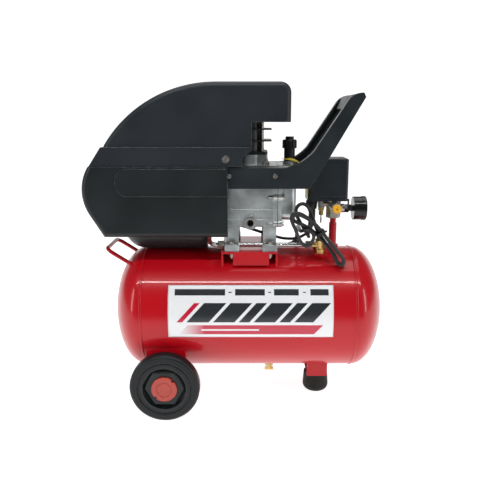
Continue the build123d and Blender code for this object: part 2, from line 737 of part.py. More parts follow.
with BuildPart() as piston:
    with BuildSketch(top_plane(cyl_x, 0, piston_top - piston_height)):
        Circle(cylinder_bore / 2 - running_clearance)
    extrude(amount=piston_height)
    with BuildSketch(top_plane(cyl_x, 0, piston_top - piston_height - 1)):
        Rectangle(2 * rod_half + 6, 34)
    extrude(amount=piston_height - 6, mode=Mode.SUBTRACT)
    with BuildSketch(right_plane(cyl_x, 0, piston_pin_z)):
        Circle(piston_pin_r + running_clearance)
    extrude(amount=cylinder_bore, both=True, mode=Mode.SUBTRACT)
    for ring_z in (piston_top - 4, piston_top - 8.5):
        with BuildSketch(top_plane(cyl_x, 0, ring_z)):
            Circle(cylinder_bore)
            Circle(cylinder_bore / 2 - 1.2, mode=Mode.SUBTRACT)
        extrude(amount=-1.8, mode=Mode.SUBTRACT)
    # The pin is a separate piece that the piston carries.
    with BuildSketch(right_plane(cyl_x - cylinder_bore / 2 + 3, 0, piston_pin_z)):
        Circle(piston_pin_r)
    extrude(amount=cylinder_bore - 6)
save(piston, "piston")

# ---------------------------------------------------------------------------
# Motor on the same shaft, inside the shroud
# ---------------------------------------------------------------------------
stator_right = cx - 95
stator_length = 95.0
stator_left = stator_right - stator_length
stator_r = 67.0
stator_bore_r = 36.0
air_gap = 0.4
bell_depth = 32.0
bell_wall = 8.0
bell_left = stator_left - bell_depth
rear_bearing_left = bell_left + bell_wall
fan_left = bell_left - 42
fan_hub = 34.0
fan_r = 61.0
fan_blades = 7

with BuildPart() as motor_shaft:
    with BuildSketch(right_plane(fan_left - 6, 0, shaft_height)):
        Circle(shaft_r)
    extrude(amount=shaft_right - fan_left + 6)
    chamfer(motor_shaft.edges().group_by(Axis.X)[0], 1)
save(motor_shaft, "motor_shaft")

with BuildPart() as rotor:
    with BuildSketch(right_plane(stator_left, 0, shaft_height)):
        Circle(stator_bore_r - air_gap)
        Circle(shaft_r, mode=Mode.SUBTRACT)
    extrude(amount=stator_length)
save(rotor, "rotor")

with BuildPart() as fan:
    with BuildSketch(right_plane(fan_left, 0, shaft_height)):
        Circle(shaft_r + 6)
    extrude(amount=fan_hub)
    for i in range(fan_blades):
        turn = 360.0 * i / fan_blades
        blade_plane = Plane(Location(right_plane(fan_left + fan_hub / 2, 0, shaft_height))
                            * Location((0, 0, 0), (0, 0, turn)) * Location((0, 0, 0), (35, 0, 0)))
        with BuildSketch(blade_plane):
            with Locations(((shaft_r + fan_r) / 2 + 1, 0)):
                RectangleRounded(fan_r - shaft_r - 4, 30, 3)
        extrude(amount=1.25, both=True)
    with BuildSketch(right_plane(fan_left - 1, 0, shaft_height)):
        Circle(shaft_r)
    extrude(amount=fan_hub + 2, mode=Mode.SUBTRACT)
save(fan, "fan")

with BuildPart() as stator:
    with BuildSketch(right_plane(stator_left, 0, shaft_height)):
        Circle(stator_r)
        Circle(stator_bore_r, mode=Mode.SUBTRACT)
        with Locations(tie_rod_places):
            Circle(tie_rod_r + hole_clearance, mode=Mode.SUBTRACT)
    extrude(amount=stator_length)
    # Copper end turns, one ring on each side.
    for ring_x, ring_length in ((stator_right, 13), (stator_left, -18)):
        with BuildSketch(right_plane(ring_x + (0.1 if ring_length > 0 else -0.1), 0, shaft_height)):
            Circle(54)
            Circle(stator_bore_r + 2, mode=Mode.SUBTRACT)
        extrude(amount=ring_length)
save(stator, "stator")

with BuildPart() as motor_end_bracket:
    with BuildSketch(right_plane(bell_left, 0, shaft_height)):
        Circle(stator_r)
    extrude(amount=bell_depth)
    with BuildSketch(right_plane(bell_left + bell_wall, 0, shaft_height)):
        Circle(stator_r - 4)
        with Locations(tie_rod_places):
            Circle(tie_rod_r + 3, mode=Mode.SUBTRACT)
    extrude(amount=bell_depth, mode=Mode.SUBTRACT)
    with BuildSketch(right_plane(bell_left, 0, shaft_height)):
        Circle(bearing_r + 5)
        Circle(bearing_r, mode=Mode.SUBTRACT)
    extrude(amount=bell_wall + bearing_width - 2)
    with BuildSketch(right_plane(bell_left - 1, 0, shaft_height)):
        Circle(shaft_r + 2)
        with Locations(tie_rod_places):
            Circle(tie_rod_r + hole_clearance)
    extrude(amount=2 * bell_depth, mode=Mode.SUBTRACT)
    with BuildSketch(right_plane(bell_left - 1, 0, shaft_height)):
        with PolarLocations(45, 8, start_angle=22.5):
            SlotOverall(20, 7)
    extrude(amount=bell_wall + 2, mode=Mode.SUBTRACT)
    # Tie rods, from outside the bracket to the crankcase.
    for y, z in tie_rod_places:
        with BuildSketch(right_plane(bell_left - 5, y, shaft_height + z)):
            Circle(tie_rod_r)
        extrude(amount=case_left + case_wall - bell_left + 5)
        with BuildSketch(right_plane(bell_left - 5, y, shaft_height + z)):
            RegularPolygon(5, 6, major_radius=False)
        extrude(amount=4.9)
save(motor_end_bracket, "motor_end_bracket")

with BuildPart() as bearings:
    for bearing_x in (bearing_left, rear_bearing_left):
        with BuildSketch(right_plane(bearing_x, 0, shaft_height)):
            Circle(bearing_r)
            Circle(shaft_r + running_clearance, mode=Mode.SUBTRACT)
        extrude(amount=bearing_width)
        for groove_x in (bearing_x, bearing_x + bearing_width - 1.5):
            with BuildSketch(right_plane(groove_x, 0, shaft_height)):
                Circle(bearing_r - 3.5)
                Circle(shaft_r + 3.5, mode=Mode.SUBTRACT)
            extrude(amount=1.5, mode=Mode.SUBTRACT)
save(bearings, "bearings")

capacitor_r = 19.0
capacitor_z = shaft_height + stator_r + capacitor_r + side_clearance + 4
with BuildPart() as run_capacitor:
    with BuildSketch(right_plane(stator_left + 8, 0, capacitor_z)):
        Circle(capacitor_r)
    extrude(amount=78)
    fillet(run_capacitor.edges().filter_by(GeomType.CIRCLE), 2)
    with BuildSketch(top_plane(stator_left + 47, 0, shaft_height + stator_r)):
        Rectangle(24, 20)
    extrude(amount=capacitor_z - capacitor_r - shaft_height - stator_r + 2)
save(run_capacitor, "run_capacitor")

# ---------------------------------------------------------------------------
# Discharge pipe and check valve
# ---------------------------------------------------------------------------
pipe_r = 4.5
pipe_bend_r = 14.0
pipe_radius_from_axis = tank_r + 22
lean = math.radians(check_angle)
pipe_y = -pipe_radius_from_axis * math.sin(lean)
pipe_z = tank_z + pipe_radius_from_axis * math.cos(lean)
pipe_right = check_x - 16
pipe_riser_x = cx - 78
pipe_riser_y = -(crankcase_half_width + 12)
pipe_nut_flat = 7.5
pipe_nut_length = 13.0

with BuildPart() as discharge_pipe:
    with BuildLine() as pipe_line:
        FilletPolyline(
            (pipe_right, pipe_y, pipe_z),
            (pipe_riser_x, pipe_y, pipe_z),
            (pipe_riser_x, pipe_riser_y, pipe_z + 30),
            (pipe_riser_x, pipe_riser_y, inlet_z),
            (cyl_x - 16, pipe_riser_y, inlet_z),
            (cyl_x - 16, -head_length / 2, inlet_z),
            radius=pipe_bend_r,
        )
    with BuildSketch(Plane(origin=pipe_line.line @ 0, z_dir=pipe_line.line % 0)):
        Circle(pipe_r)
    sweep()
save(discharge_pipe, "discharge_pipe")

with BuildPart() as pipe_nuts:
    for nut_x in (pipe_right, pipe_riser_x + pipe_bend_r + pipe_nut_length + 2):
        with BuildSketch(right_plane(nut_x, pipe_y, pipe_z)):
            RegularPolygon(pipe_nut_flat, 6, major_radius=False)
            Circle(pipe_r + thread_clearance, mode=Mode.SUBTRACT)
        extrude(amount=-pipe_nut_length)
    with BuildSketch(front_plane(cyl_x - 16, -head_length / 2, inlet_z)):
        RegularPolygon(pipe_nut_flat, 6, major_radius=False)
        Circle(pipe_r + thread_clearance, mode=Mode.SUBTRACT)
    extrude(amount=pipe_nut_length)
save(pipe_nuts, "pipe_nuts")

with BuildPart() as check_valve:
    with BuildSketch(tank_port_plane(check_x, check_angle, tank_r + port_height)):
        RegularPolygon(11, 6, major_radius=False)
    extrude(amount=9)
    with BuildSketch(tank_port_plane(check_x, check_angle, tank_r - port_height)):
        Circle(port_thread_r - thread_clearance)
    extrude(amount=2 * port_height)
    with BuildSketch(tank_port_plane(check_x, check_angle, tank_r + port_height + 9)):
        Circle(9)
    extrude(amount=14)
    with BuildSketch(tank_port_plane(check_x, check_angle, tank_r + port_height + 23)):
        RegularPolygon(8.5, 6, major_radius=False)
    extrude(amount=5)
    with BuildSketch(right_plane(check_x, pipe_y, pipe_z)):
        Circle(6.5)
    extrude(amount=pipe_right - check_x)
save(check_valve, "check_valve")

# ---------------------------------------------------------------------------
# Shroud: a lower shell and an upper shell that meet at one level
# ---------------------------------------------------------------------------
seam_z = 492.0
lower_bottom = 356.0
lower_right = cx - 40
lower_half_width = shroud_half_width + 2
lower_corner_x = cx - shroud_reach + 39
lower_knee = (cx - shroud_reach + 12, 400.0)
lower_bulge = (cx - shroud_reach, 447.0)
lower_shoulder = (cx - shroud_reach + 14, seam_z)
panel_height = 52.0
panel_left = cx - 252
panel_raise = 2.5
band_top = 528.0
band_left = cx - 301
dome_left = cx - 272
dome_top_x = cx - 61
dome_radius = shroud_top - band_top + 132
shroud_right = cx + 79
overhang_z = 574.0
step_x = cx + 6
step_z = 523.0
flare_x = cx - 12
flare_z = 508.0
dome_half_width = shroud_half_width - 3
edge_round = 10.0
pipe_notch = 46.0
shroud_screw_x = cx - 43
shroud_screw_z = 506.0
lower_screw_x = cx - 76
lower_screw_y = 40.0
m5_r = 2.5


def dome_point(radius, x):
    """Height of the round back of the dome over the point x."""
    return shroud_top - dome_radius + math.sqrt(radius ** 2 - (x - dome_top_x) ** 2)


def lower_outline(inset):
    """Side view of the lower shell, made smaller all round by `inset`."""
    with BuildSketch() as outline:
        with BuildLine():
            ThreePointArc(
                (lower_shoulder[0] + inset, seam_z),
                (lower_bulge[0] + inset, lower_bulge[1]),
                (lower_knee[0] + inset, lower_knee[1]),
            )
            Polyline(
                (lower_knee[0] + inset, lower_knee[1]),
                (lower_corner_x + 0.6 * inset, lower_bottom + inset),
                (lower_right, lower_bottom + inset),
                (lower_right, seam_z),
                (lower_shoulder[0] + inset, seam_z),
            )
        make_face()
    return outline.sketch


def dome_outline(inset):
    """Side view of the dome over the motor and the head, made smaller by `inset`."""
    radius = dome_radius - inset
    left = dome_left + inset
    mid = (left + dome_top_x) / 2
    top = shroud_top - inset
    right = shroud_right - inset
    base = band_top - inset
    with BuildSketch() as outline:
        with BuildLine():
            Line((left, base), (left, dome_point(radius, left)))
            ThreePointArc((left, dome_point(radius, left)), (mid, dome_point(radius, mid)), (dome_top_x, top))
            Line((dome_top_x, top), (right, top))
            Polyline((right, top), (right, overhang_z), (step_x, overhang_z), (step_x, base), (left, base))
        make_face()
        fillet(vertices().group_by(Axis.X)[-1].sort_by(Axis.Y)[-1], 2 * edge_round - inset)
    return outline.sketch


def band_outline(inset):
    """Side view of the band between the dome and the seam."""
    with BuildSketch() as outline:
        with BuildLine():
            Polyline(
                (band_left + inset, seam_z),
                (dome_left - 5 + inset, band_top - inset),
                (step_x, band_top - inset),
                (step_x, step_z),
                (flare_x, flare_z),
                (flare_x, seam_z),
                (band_left + inset, seam_z),
            )
        make_face()
    return outline.sketch


def rounded_block(side_view, half_width, radius, wanted):
    """A side view swept both ways, with its wanted front and back edges rounded."""
    with BuildPart() as block:
        with BuildSketch(Plane.XZ):
            add(side_view)
        extrude(amount=half_width, both=True)
        rims = block.edges().group_by(Axis.Y)
        fillet([e for rim in (rims[0], rims[-1]) for e in rim if wanted(e.center())], radius)
    return block.part


def on_lower_rim(middle):
    """True for the bottom and left edges of the lower shell."""
    return middle.X < lower_right - 5 and middle.Z < seam_z - 5


def on_dome_rim(middle):
    """True for the edges of the dome above its underside."""
    return middle.Z > overhang_z + 5


inner_round = edge_round - shroud_wall
lower_block = rounded_block(lower_outline(0), lower_half_width, edge_round, on_lower_rim)
lower_core = rounded_block(
    lower_outline(shroud_wall), lower_half_width - shroud_wall, inner_round, on_lower_rim
)
dome_block = rounded_block(dome_outline(0), dome_half_width, edge_round, on_dome_rim)
dome_core = rounded_block(
    dome_outline(shroud_wall), dome_half_width - shroud_wall, inner_round, on_dome_rim
)
band_outer = band_outline(0)
band_inner = band_outline(shroud_wall)

with BuildPart() as shroud_lower:
    add(lower_block)
    # The raised panel with its round left end, on both sides.
    for side in (-1, 1):
        panel_mid = (panel_left + lower_right) / 2
        with BuildSketch(front_plane(panel_mid, side * lower_half_width, seam_z - 4 - panel_height / 2)):
            Rectangle(lower_right - panel_left, panel_height)
            fillet(vertices().group_by(Axis.X)[0], 0.42 * panel_height)
        extrude(amount=panel_raise, both=True)
    add(lower_core, mode=Mode.SUBTRACT)
    # Notches for the pipe and the lead, and two screw holes, in the bottom.
    with BuildSketch(top_plane(lower_right - pipe_notch / 2, 0, lower_bottom - 1)):
        with Locations((0, pipe_riser_y + 5), (0, -pipe_riser_y - 5)):
            Rectangle(pipe_notch + 1, 33)
    extrude(amount=shroud_wall + 2, mode=Mode.SUBTRACT)
    with BuildSketch(top_plane(lower_screw_x, 0, lower_bottom - 1)):
        with Locations((0, -lower_screw_y), (0, lower_screw_y)):
            Circle(m5_r + hole_clearance)
    extrude(amount=shroud_wall + 2, mode=Mode.SUBTRACT)
    # Slots that let the fan draw air in.
    with BuildSketch(right_plane(cx - shroud_reach - 5, 0, shaft_height)):
        with GridLocations(0, 11, 1, 7):
            SlotOverall(96, 5)
    extrude(amount=22, mode=Mode.SUBTRACT)
save(shroud_lower, "shroud_lower")

with BuildPart() as shroud_upper:
    add(dome_block)
    with BuildSketch(Plane.XZ):
        add(band_outer)
    extrude(amount=shroud_half_width, both=True)
    add(dome_core, mode=Mode.SUBTRACT)
    with BuildSketch(Plane.XZ):
        add(band_inner)
    extrude(amount=shroud_half_width - shroud_wall, both=True, mode=Mode.SUBTRACT)
    for side in (-1, 1):
        with BuildSketch(front_plane(shroud_screw_x, side * (shroud_half_width + 1), shroud_screw_z)):
            Circle(m5_r + hole_clearance)
        extrude(amount=side * (shroud_wall + 2), mode=Mode.SUBTRACT)
save(shroud_upper, "shroud_upper")

# ---------------------------------------------------------------------------
# Carry handle: two arms joined by a grip
# ---------------------------------------------------------------------------
handle_left = cx - 39
handle_bottom = 450.0
handle_bar_top = 489.5
handle_right = cx + 116
handle_wall = 3.0
arm_depth = 17.0
arm_in = handle_half_width - arm_depth
grip_left = cx + 187
grip_right = cx + 216
arm_back = [(cx + 70, handle_bar_top), (cx + 101, 502.0), (cx + 124, 522.0)]
arm_front = [(cx + 154, 512.0), (grip_right, handle_top - 8)]
boss_r = 6.0
arm_top_round = 32.0


def arm_outline():
    """Side view of one arm: the bar along the crankcase and the leaning stem."""
    with BuildSketch() as outline:
        with BuildLine():
            Line((handle_left, handle_bar_top), (handle_left, handle_bottom))
            Polyline((handle_left, handle_bottom), (handle_right, handle_bottom), arm_front[0], arm_front[1])
            Polyline(arm_front[1], (grip_right - 4, handle_top), (grip_left + 6, handle_top))
            Line((grip_left + 6, handle_top), arm_back[2])
            ThreePointArc(arm_back[2], arm_back[1], arm_back[0])
            Line(arm_back[0], (handle_left, handle_bar_top))
        make_face()
        top_corners = vertices().group_by(Axis.Y)[-1].sort_by(Axis.X)
        fillet(top_corners[0], arm_top_round)
    return outline.sketch


arm_side = arm_outline()
arm_hollow = offset(arm_side, amount=-handle_wall)

with BuildPart() as carry_handle:
    for side in (-1, 1):
        with BuildSketch(front_plane(0, side * arm_in, 0)):
            add(arm_side)
        extrude(amount=-side * arm_depth)
        with BuildSketch(front_plane(0, side * (arm_in - 1), 0)):
            add(arm_hollow)
        extrude(amount=-side * (arm_depth + 1 - handle_wall), mode=Mode.SUBTRACT)
        for x, seat in zip(handle_screw_x, (crankcase_half_width + 1.5, crankcase_half_width + 7)):
            with BuildSketch(front_plane(x, side * seat, handle_screw_z)):
                Circle(boss_r)
            extrude(amount=-side * (handle_half_width - seat))
        # A rib down the middle of the leaning stem.
        with BuildSketch(front_plane(0, side * (arm_in + 4), 0)):
            with BuildLine():
                Polyline((cx + 108, 474), (cx + 111, 472), (cx + 203, 612), (cx + 200, 614), (cx + 108, 474))
            make_face()
        extrude(amount=-side * (arm_depth - 5))
    with BuildSketch(front_plane(0, arm_in + 1, 0)):
        with BuildLine():
            Polyline(
                (grip_left - 6, handle_top - 30),
                (grip_left + 7, handle_top - 3),
                (grip_right - 8, handle_top - 1),
                (grip_right - 3, handle_top - 8),
                (grip_right - 16, handle_top - 30),
                (grip_left - 6, handle_top - 30),
            )
        make_face()
        fillet(vertices(), 3)
    extrude(amount=2 * arm_in + 2)
    for side in (-1, 1):
        with BuildSketch(front_plane(0, side * (handle_half_width + 1), handle_screw_z)):
            with Locations([(x, 0) for x in handle_screw_x]):
                Circle(handle_screw_r + hole_clearance)
        extrude(amount=side * 2 * arm_depth, mode=Mode.SUBTRACT)
save(carry_handle, "carry_handle")

with BuildPart() as panel_screws:
    for side in (-1, 1):
        for x in handle_screw_x:
            with BuildSketch(front_plane(x, side * handle_half_width, handle_screw_z)):
                Circle(4.5)
            extrude(amount=-side * 2.6)
            with BuildSketch(front_plane(x, side * handle_half_width, handle_screw_z)):
                Circle(handle_screw_r)
            extrude(amount=side * (handle_half_width - crankcase_half_width + 4))
        with BuildSketch(front_plane(shroud_screw_x, side * shroud_half_width, shroud_screw_z)):
            Circle(7)
        extrude(amount=-side * 1.2)
        with BuildSketch(front_plane(shroud_screw_x, side * (shroud_half_width + 1.2), shroud_screw_z)):
            Circle(4.5)
        extrude(amount=-side * 2.6)
        with BuildSketch(front_plane(shroud_screw_x, side * shroud_half_width, shroud_screw_z)):
            Circle(m5_r)
        extrude(amount=side * 12)
        with BuildSketch(top_plane(lower_screw_x, side * lower_screw_y, lower_bottom)):
            Circle(4.5)
        extrude(amount=-3)
        with BuildSketch(top_plane(lower_screw_x, side * lower_screw_y, lower_bottom)):
            Circle(m5_r)
        extrude(amount=10)
save(panel_screws, "panel_screws")

# ---------------------------------------------------------------------------
# Pressure switch, manifold, gauge and fittings on the riser
# ---------------------------------------------------------------------------
manifold_bottom = 381.0
manifold_top = 419.0
riser_r = 8.0
switch_mid_x = cx + 158
switch_length = 80.0
switch_depth = 70.0
switch_base_height = 10.0
switch_top = 503.0
switch_wall = 2.0
switch_right = switch_mid_x + switch_length / 2
port_y = -52.0
port_z = 406.0
port_bore = 5.2
gauge_z = 400.0
gauge_r = 25.0
gauge_left = riser_x + 39.5
gauge_length = 26.5
gauge_wall = 1.5
gauge_right = gauge_left + gauge_length
dial_x = gauge_right - 6
valve_x = riser_x - 25
valve_z = 409.0

with BuildPart() as riser_pipe:
    with BuildSketch(top_plane(riser_x, 0, tank_z + tank_r - port_height)):
        Circle(port_thread_r - thread_clearance)
    extrude(amount=2 * port_height)
    with BuildSketch(top_plane(riser_x, 0, tank_z + tank_r + port_height)):
        Circle(riser_r)
    extrude(amount=manifold_bottom - 11 - tank_z - tank_r - port_height)
    with BuildSketch(top_plane(riser_x, 0, manifold_bottom - 11)):
        Circle(riser_r - 1.6)
    extrude(amount=11)
save(riser_pipe, "riser_pipe")

with BuildPart() as manifold:
    with BuildSketch(top_plane(riser_x, 0, manifold_bottom)):
        RegularPolygon(13, 6, major_radius=False)
    extrude(amount=manifold_top - manifold_bottom - 4)
    with BuildSketch(top_plane(riser_x, 0, manifold_top - 4)):
        Circle(16)
    extrude(amount=4)
    with BuildSketch(front_plane(riser_x, 0, port_z)):
        Circle(10.5)
    extrude(amount=-port_y)
    with BuildSketch(right_plane(riser_x, 0, gauge_z)):
        Circle(9)
    extrude(amount=22)
    with BuildSketch(right_plane(riser_x, 0, valve_z)):
        Circle(5.5)
    extrude(amount=valve_x - riser_x)
    with BuildSketch(top_plane(valve_x, 0, valve_z - 7)):
        Circle(7)
    extrude(amount=13)
    with BuildSketch(front_plane(riser_x, port_y, port_z)):
        Circle(port_bore)
    extrude(amount=-20, mode=Mode.SUBTRACT)
    fillet(manifold.edges().filter_by(GeomType.CIRCLE).group_by(Axis.Y)[0], 0.8)
save(manifold, "manifold")

with BuildPart() as outlet_cap:
    with BuildSketch(front_plane(riser_x, port_y, port_z)):
        Circle(8.75)
    extrude(amount=3)
    fillet(outlet_cap.edges().group_by(Axis.Y)[0], 1)
    with BuildSketch(front_plane(riser_x, port_y, port_z)):
        Circle(port_bore - running_clearance)
    extrude(amount=-12)
    with BuildSketch(front_plane(riser_x, port_y - 3, port_z)):
        Circle(1.6)
    extrude(amount=-8, mode=Mode.SUBTRACT)
save(outlet_cap, "outlet_cap")

with BuildPart() as gauge_case:
    with BuildSketch(right_plane(riser_x + 22, 0, gauge_z)):
        RegularPolygon(8, 6, major_radius=False)
    extrude(amount=9)
    with BuildSketch(right_plane(riser_x + 31, 0, gauge_z)):
        Circle(6)
    extrude(amount=gauge_left - riser_x - 31)
    with BuildSketch(right_plane(gauge_left, 0, gauge_z)):
        Circle(gauge_r - 1)
    extrude(amount=gauge_length)
    chamfer(gauge_case.faces().sort_by(Axis.X)[-1].edges(), 0.6)
    with BuildSketch(right_plane(gauge_right - 9, 0, gauge_z)):
        Circle(gauge_r)
    extrude(amount=7.5)
    with BuildSketch(right_plane(dial_x, 0, gauge_z)):
        Circle(gauge_r - 1 - gauge_wall)
    extrude(amount=gauge_length, mode=Mode.SUBTRACT)
    # The window is a separate disc that the case holds.
    with BuildSketch(right_plane(gauge_right - 2.5, 0, gauge_z)):
        Circle(gauge_r - 1 - gauge_wall - thread_clearance)
    extrude(amount=1.5)
save(gauge_case, "gauge_case")

needle_length = 17.0
needle_rest = 225.0             # degrees from +Y towards +Z, where the scale starts
with BuildPart() as gauge_needle:
    with BuildSketch(right_plane(dial_x + 1, 0, gauge_z)):
        Circle(2.2)
        with Locations(Location((0, 0), needle_rest)):
            with Locations((needle_length / 2 - 3, 0)):
                Rectangle(needle_length, 1.4)
    extrude(amount=0.8)
save(gauge_needle, "gauge_needle")

with BuildPart() as safety_valve:
    with BuildSketch(top_plane(valve_x, 0, valve_z - 7)):
        RegularPolygon(5.5, 6, major_radius=False)
    extrude(amount=-6)
    with BuildSketch(top_plane(valve_x, 0, valve_z - 13)):
        Circle(4.8)
    extrude(amount=-10)
    with BuildSketch(top_plane(valve_x, 0, valve_z - 23)):
        Circle(1.5 + running_clearance)
    extrude(amount=9, mode=Mode.SUBTRACT)
save(safety_valve, "safety_valve")

safety_ring_r = 7.0
with BuildPart() as safety_ring:
    with BuildSketch(top_plane(valve_x, 0, valve_z - 15)):
        Circle(1.5)
    extrude(amount=-11)
    with BuildSketch(front_plane(valve_x, 0, valve_z - 26 - safety_ring_r)):
        with Locations((0, safety_ring_r)):
            Circle(0.9)
    revolve(axis=Axis((valve_x, 0, valve_z - 26 - safety_ring_r), (1, 0, 0)))
save(safety_ring, "safety_ring")

with BuildPart() as switch_base:
    with BuildSketch(top_plane(switch_mid_x, 0, manifold_top)):
        RectangleRounded(switch_length, switch_depth, 6)
    extrude(amount=switch_base_height)
    with BuildSketch(top_plane(switch_mid_x + 4, 0, manifold_top + switch_base_height)):
        RectangleRounded(40, 34, 3)
    extrude(amount=24)
save(switch_base, "switch_base")

with BuildPart() as switch_cover:
    with BuildSketch(top_plane(switch_mid_x, 0, manifold_top + switch_base_height)):
        RectangleRounded(switch_length, switch_depth, 6)
    extrude(amount=switch_top - manifold_top - switch_base_height)
    fillet(switch_cover.edges().group_by(Axis.Z)[-1], 4)
    with BuildSketch(top_plane(switch_mid_x, 0, manifold_top + switch_base_height)):
        RectangleRounded(switch_length - 2 * switch_wall, switch_depth - 2 * switch_wall, 4)
    extrude(amount=switch_top - manifold_top - switch_base_height - switch_wall, mode=Mode.SUBTRACT)
save(switch_cover, "switch_cover")

lever_y = -29.0
lever_pivot = (switch_right + 1.5, lever_y, manifold_top + 4)
with BuildPart() as switch_lever:
    with BuildSketch(front_plane(switch_right + face_clearance, lever_y + 3, 0)):
        with Locations((1.3, manifold_top - 6)):
            Rectangle(2.6, 20)
        with Locations((4.5, manifold_top - 12)):
            RectangleRounded(9, 9, 2)
    extrude(amount=6)
save(switch_lever, "switch_lever")

glands = [(cx + 125, -18.0), (cx + 136, 14.0)]
gland_bottom = manifold_top - 22
with BuildPart() as cable_glands:
    for x, y in glands:
        with BuildSketch(top_plane(x, y, manifold_top)):
            RegularPolygon(8, 6, major_radius=False)
        extrude(amount=-8)
        with BuildSketch(top_plane(x, y, manifold_top - 8)):
            Circle(7.2)
        extrude(amount=-14, taper=8)
save(cable_glands, "cable_glands")

# ---------------------------------------------------------------------------
# Parts a hand takes hold of on the pump and on the tank's drain
# ---------------------------------------------------------------------------
with BuildPart() as oil_filler_cap:
    with BuildSketch(top_plane(filler_x, 0, filler_seat - 12)):
        Circle(filler_r)
    extrude(amount=12)
    with BuildSketch(top_plane(filler_x, 0, filler_seat)):
        Circle(11)
    extrude(amount=25)
    with BuildSketch(top_plane(filler_x, 0, filler_seat + 25)):
        Circle(14.5)
    extrude(amount=17)
    chamfer(oil_filler_cap.edges().group_by(Axis.Z)[-1], 2)
    with BuildSketch(top_plane(filler_x, 0, filler_seat + 42)):
        Circle(8.5)
    extrude(amount=6)
    with BuildSketch(top_plane(filler_x, 0, filler_seat + 25)):
        with PolarLocations(14.5, 10):
            Circle(1.8)
    extrude(amount=17, mode=Mode.SUBTRACT)
save(oil_filler_cap, "oil_filler_cap")

drain_top = tank_z - tank_r - port_height
drain_stem_r = 3.0
with BuildPart() as drain_body:
    with BuildSketch(top_plane(drain_x, 0, drain_top)):
        Circle(port_thread_r - thread_clearance)
    extrude(amount=port_height)
    with BuildSketch(top_plane(drain_x, 0, drain_top)):
        RegularPolygon(7.5, 6, major_radius=False)
    extrude(amount=-8)
    with BuildSketch(top_plane(drain_x, 0, drain_top - 8)):
        Circle(drain_stem_r + running_clearance)
    extrude(amount=12, mode=Mode.SUBTRACT)
save(drain_body, "drain_body")

with BuildPart() as drain_screw:
    with BuildSketch(top_plane(drain_x, 0, drain_top - 8 - face_clearance)):
        Circle(5)
    extrude(amount=-4)
    with BuildSketch(top_plane(drain_x, 0, drain_top - 12 - face_clearance)):
        RectangleRounded(19, 4, 1.5)
    extrude(amount=-6)
    with BuildSketch(top_plane(drain_x, 0, drain_top - 8 - face_clearance)):
        Circle(drain_stem_r)
    extrude(amount=8)
save(drain_screw, "drain_screw")

# ---------------------------------------------------------------------------
# Cables
# ---------------------------------------------------------------------------
hank_mid_y = -77.0
hank_half = 12.0
hank_back = hank_mid_y + hank_half
hank_outline = [
    (cx + 88, 388), (cx + 86, 402), (cx + 90, 418), (cx + 100, 424), (cx + 113, 418), (cx + 131, 382),
    (cx + 181, 313), (cx + 174, 303), (cx + 162, 310), (cx + 122, 344), (cx + 110, 334), (cx + 100, 346),
]
tail_x = cx + 101
plug_lean = math.radians(42.0)
plug_rest_r = tank_r + 17
plug_mid = Vector(tail_x + 3, plug_rest_r * math.sin(plug_lean), tank_z + plug_rest_r * math.cos(plug_lean))
plug_way = Vector(0, math.cos(plug_lean), -math.sin(plug_lean))
plug_start = plug_mid - plug_way * 22

cord_out = [
    (glands[0][0], glands[0][1], gland_bottom),
    (glands[0][0], glands[0][1], gland_bottom - 26),
    (cx + 119, -38, 352),
    (cx + 119, hank_back, 352),
]
cord_tail = [
    (tail_x, hank_back, 366),
    (tail_x, -22, 366),
    (tail_x + 1, 20, 358),
    tuple(plug_start - plug_way * 34),
    tuple(plug_start),
]
lead_route = [
    (glands[1][0], glands[1][1], gland_bottom),
    (glands[1][0], glands[1][1], gland_bottom - 26),
    (cx + 128, 17, 347),
    (cx + 103, 22, 331),
    (cx + 73, 24, 331),
    (cx + 41, 20, 341),
    (cx + 8, 19, 352),
    (cx - 22, 21, 362),
    (cx - 62, 24, 364),
    (cx - 78, 24, shaft_height - 59),
    (stator_right, 24, shaft_height - 59),
]
lead_diameter = 6.0


def bend_radii(points):
    """Radius for each corner: 0.45 of the shorter run over the tangent of half the turn."""
    radii = []
    for before, corner, after in zip(points, points[1:], points[2:]):
        run_in = Vector(*corner) - Vector(*before)
        run_out = Vector(*after) - Vector(*corner)
        half_turn = math.radians(run_in.get_angle(run_out)) / 2
        radii.append(0.45 * min(run_in.length, run_out.length) / math.tan(half_turn))
    return radii


def cable(points, diameter, name):
    """A round cable along straight runs and tangent arcs."""
    radii = bend_radii(points)
    print(name, "radii", [round(r) for r in radii])
    with BuildPart() as tube:
        with BuildLine() as route:
            FilletPolyline(*points, radius=radii)
        with BuildSketch(Plane(origin=route.line @ 0, z_dir=route.line % 0)):
            Circle(diameter / 2)
        sweep()
    length = sum(edge.length for edge in route.edges())
    section = math.pi * diameter ** 2 / 4
    print(name, "length", round(length), "volume ratio", round(tube.part.volume / (section * length), 4))
    return tube.part


cord_out_tube = cable(cord_out, cord_diameter, "cord out")
cord_tail_tube = cable(cord_tail, cord_diameter, "cord tail")
motor_lead_tube = cable(lead_route, lead_diameter, "motor lead")

with BuildPart() as power_cord:
    add(cord_out_tube)
    add(cord_tail_tube)
save(power_cord, "power_cord")

with BuildPart() as motor_lead:
    add(motor_lead_tube)
save(motor_lead, "motor_lead")

with BuildPart() as power_cord_hank:
    with BuildSketch(front_plane(0, hank_mid_y, 0)):
        with BuildLine():
            Polyline(*hank_outline, close=True)
        make_face()
        fillet(vertices(), 3)
    extrude(amount=hank_half, both=True)
save(power_cord_hank, "power_cord_hank")

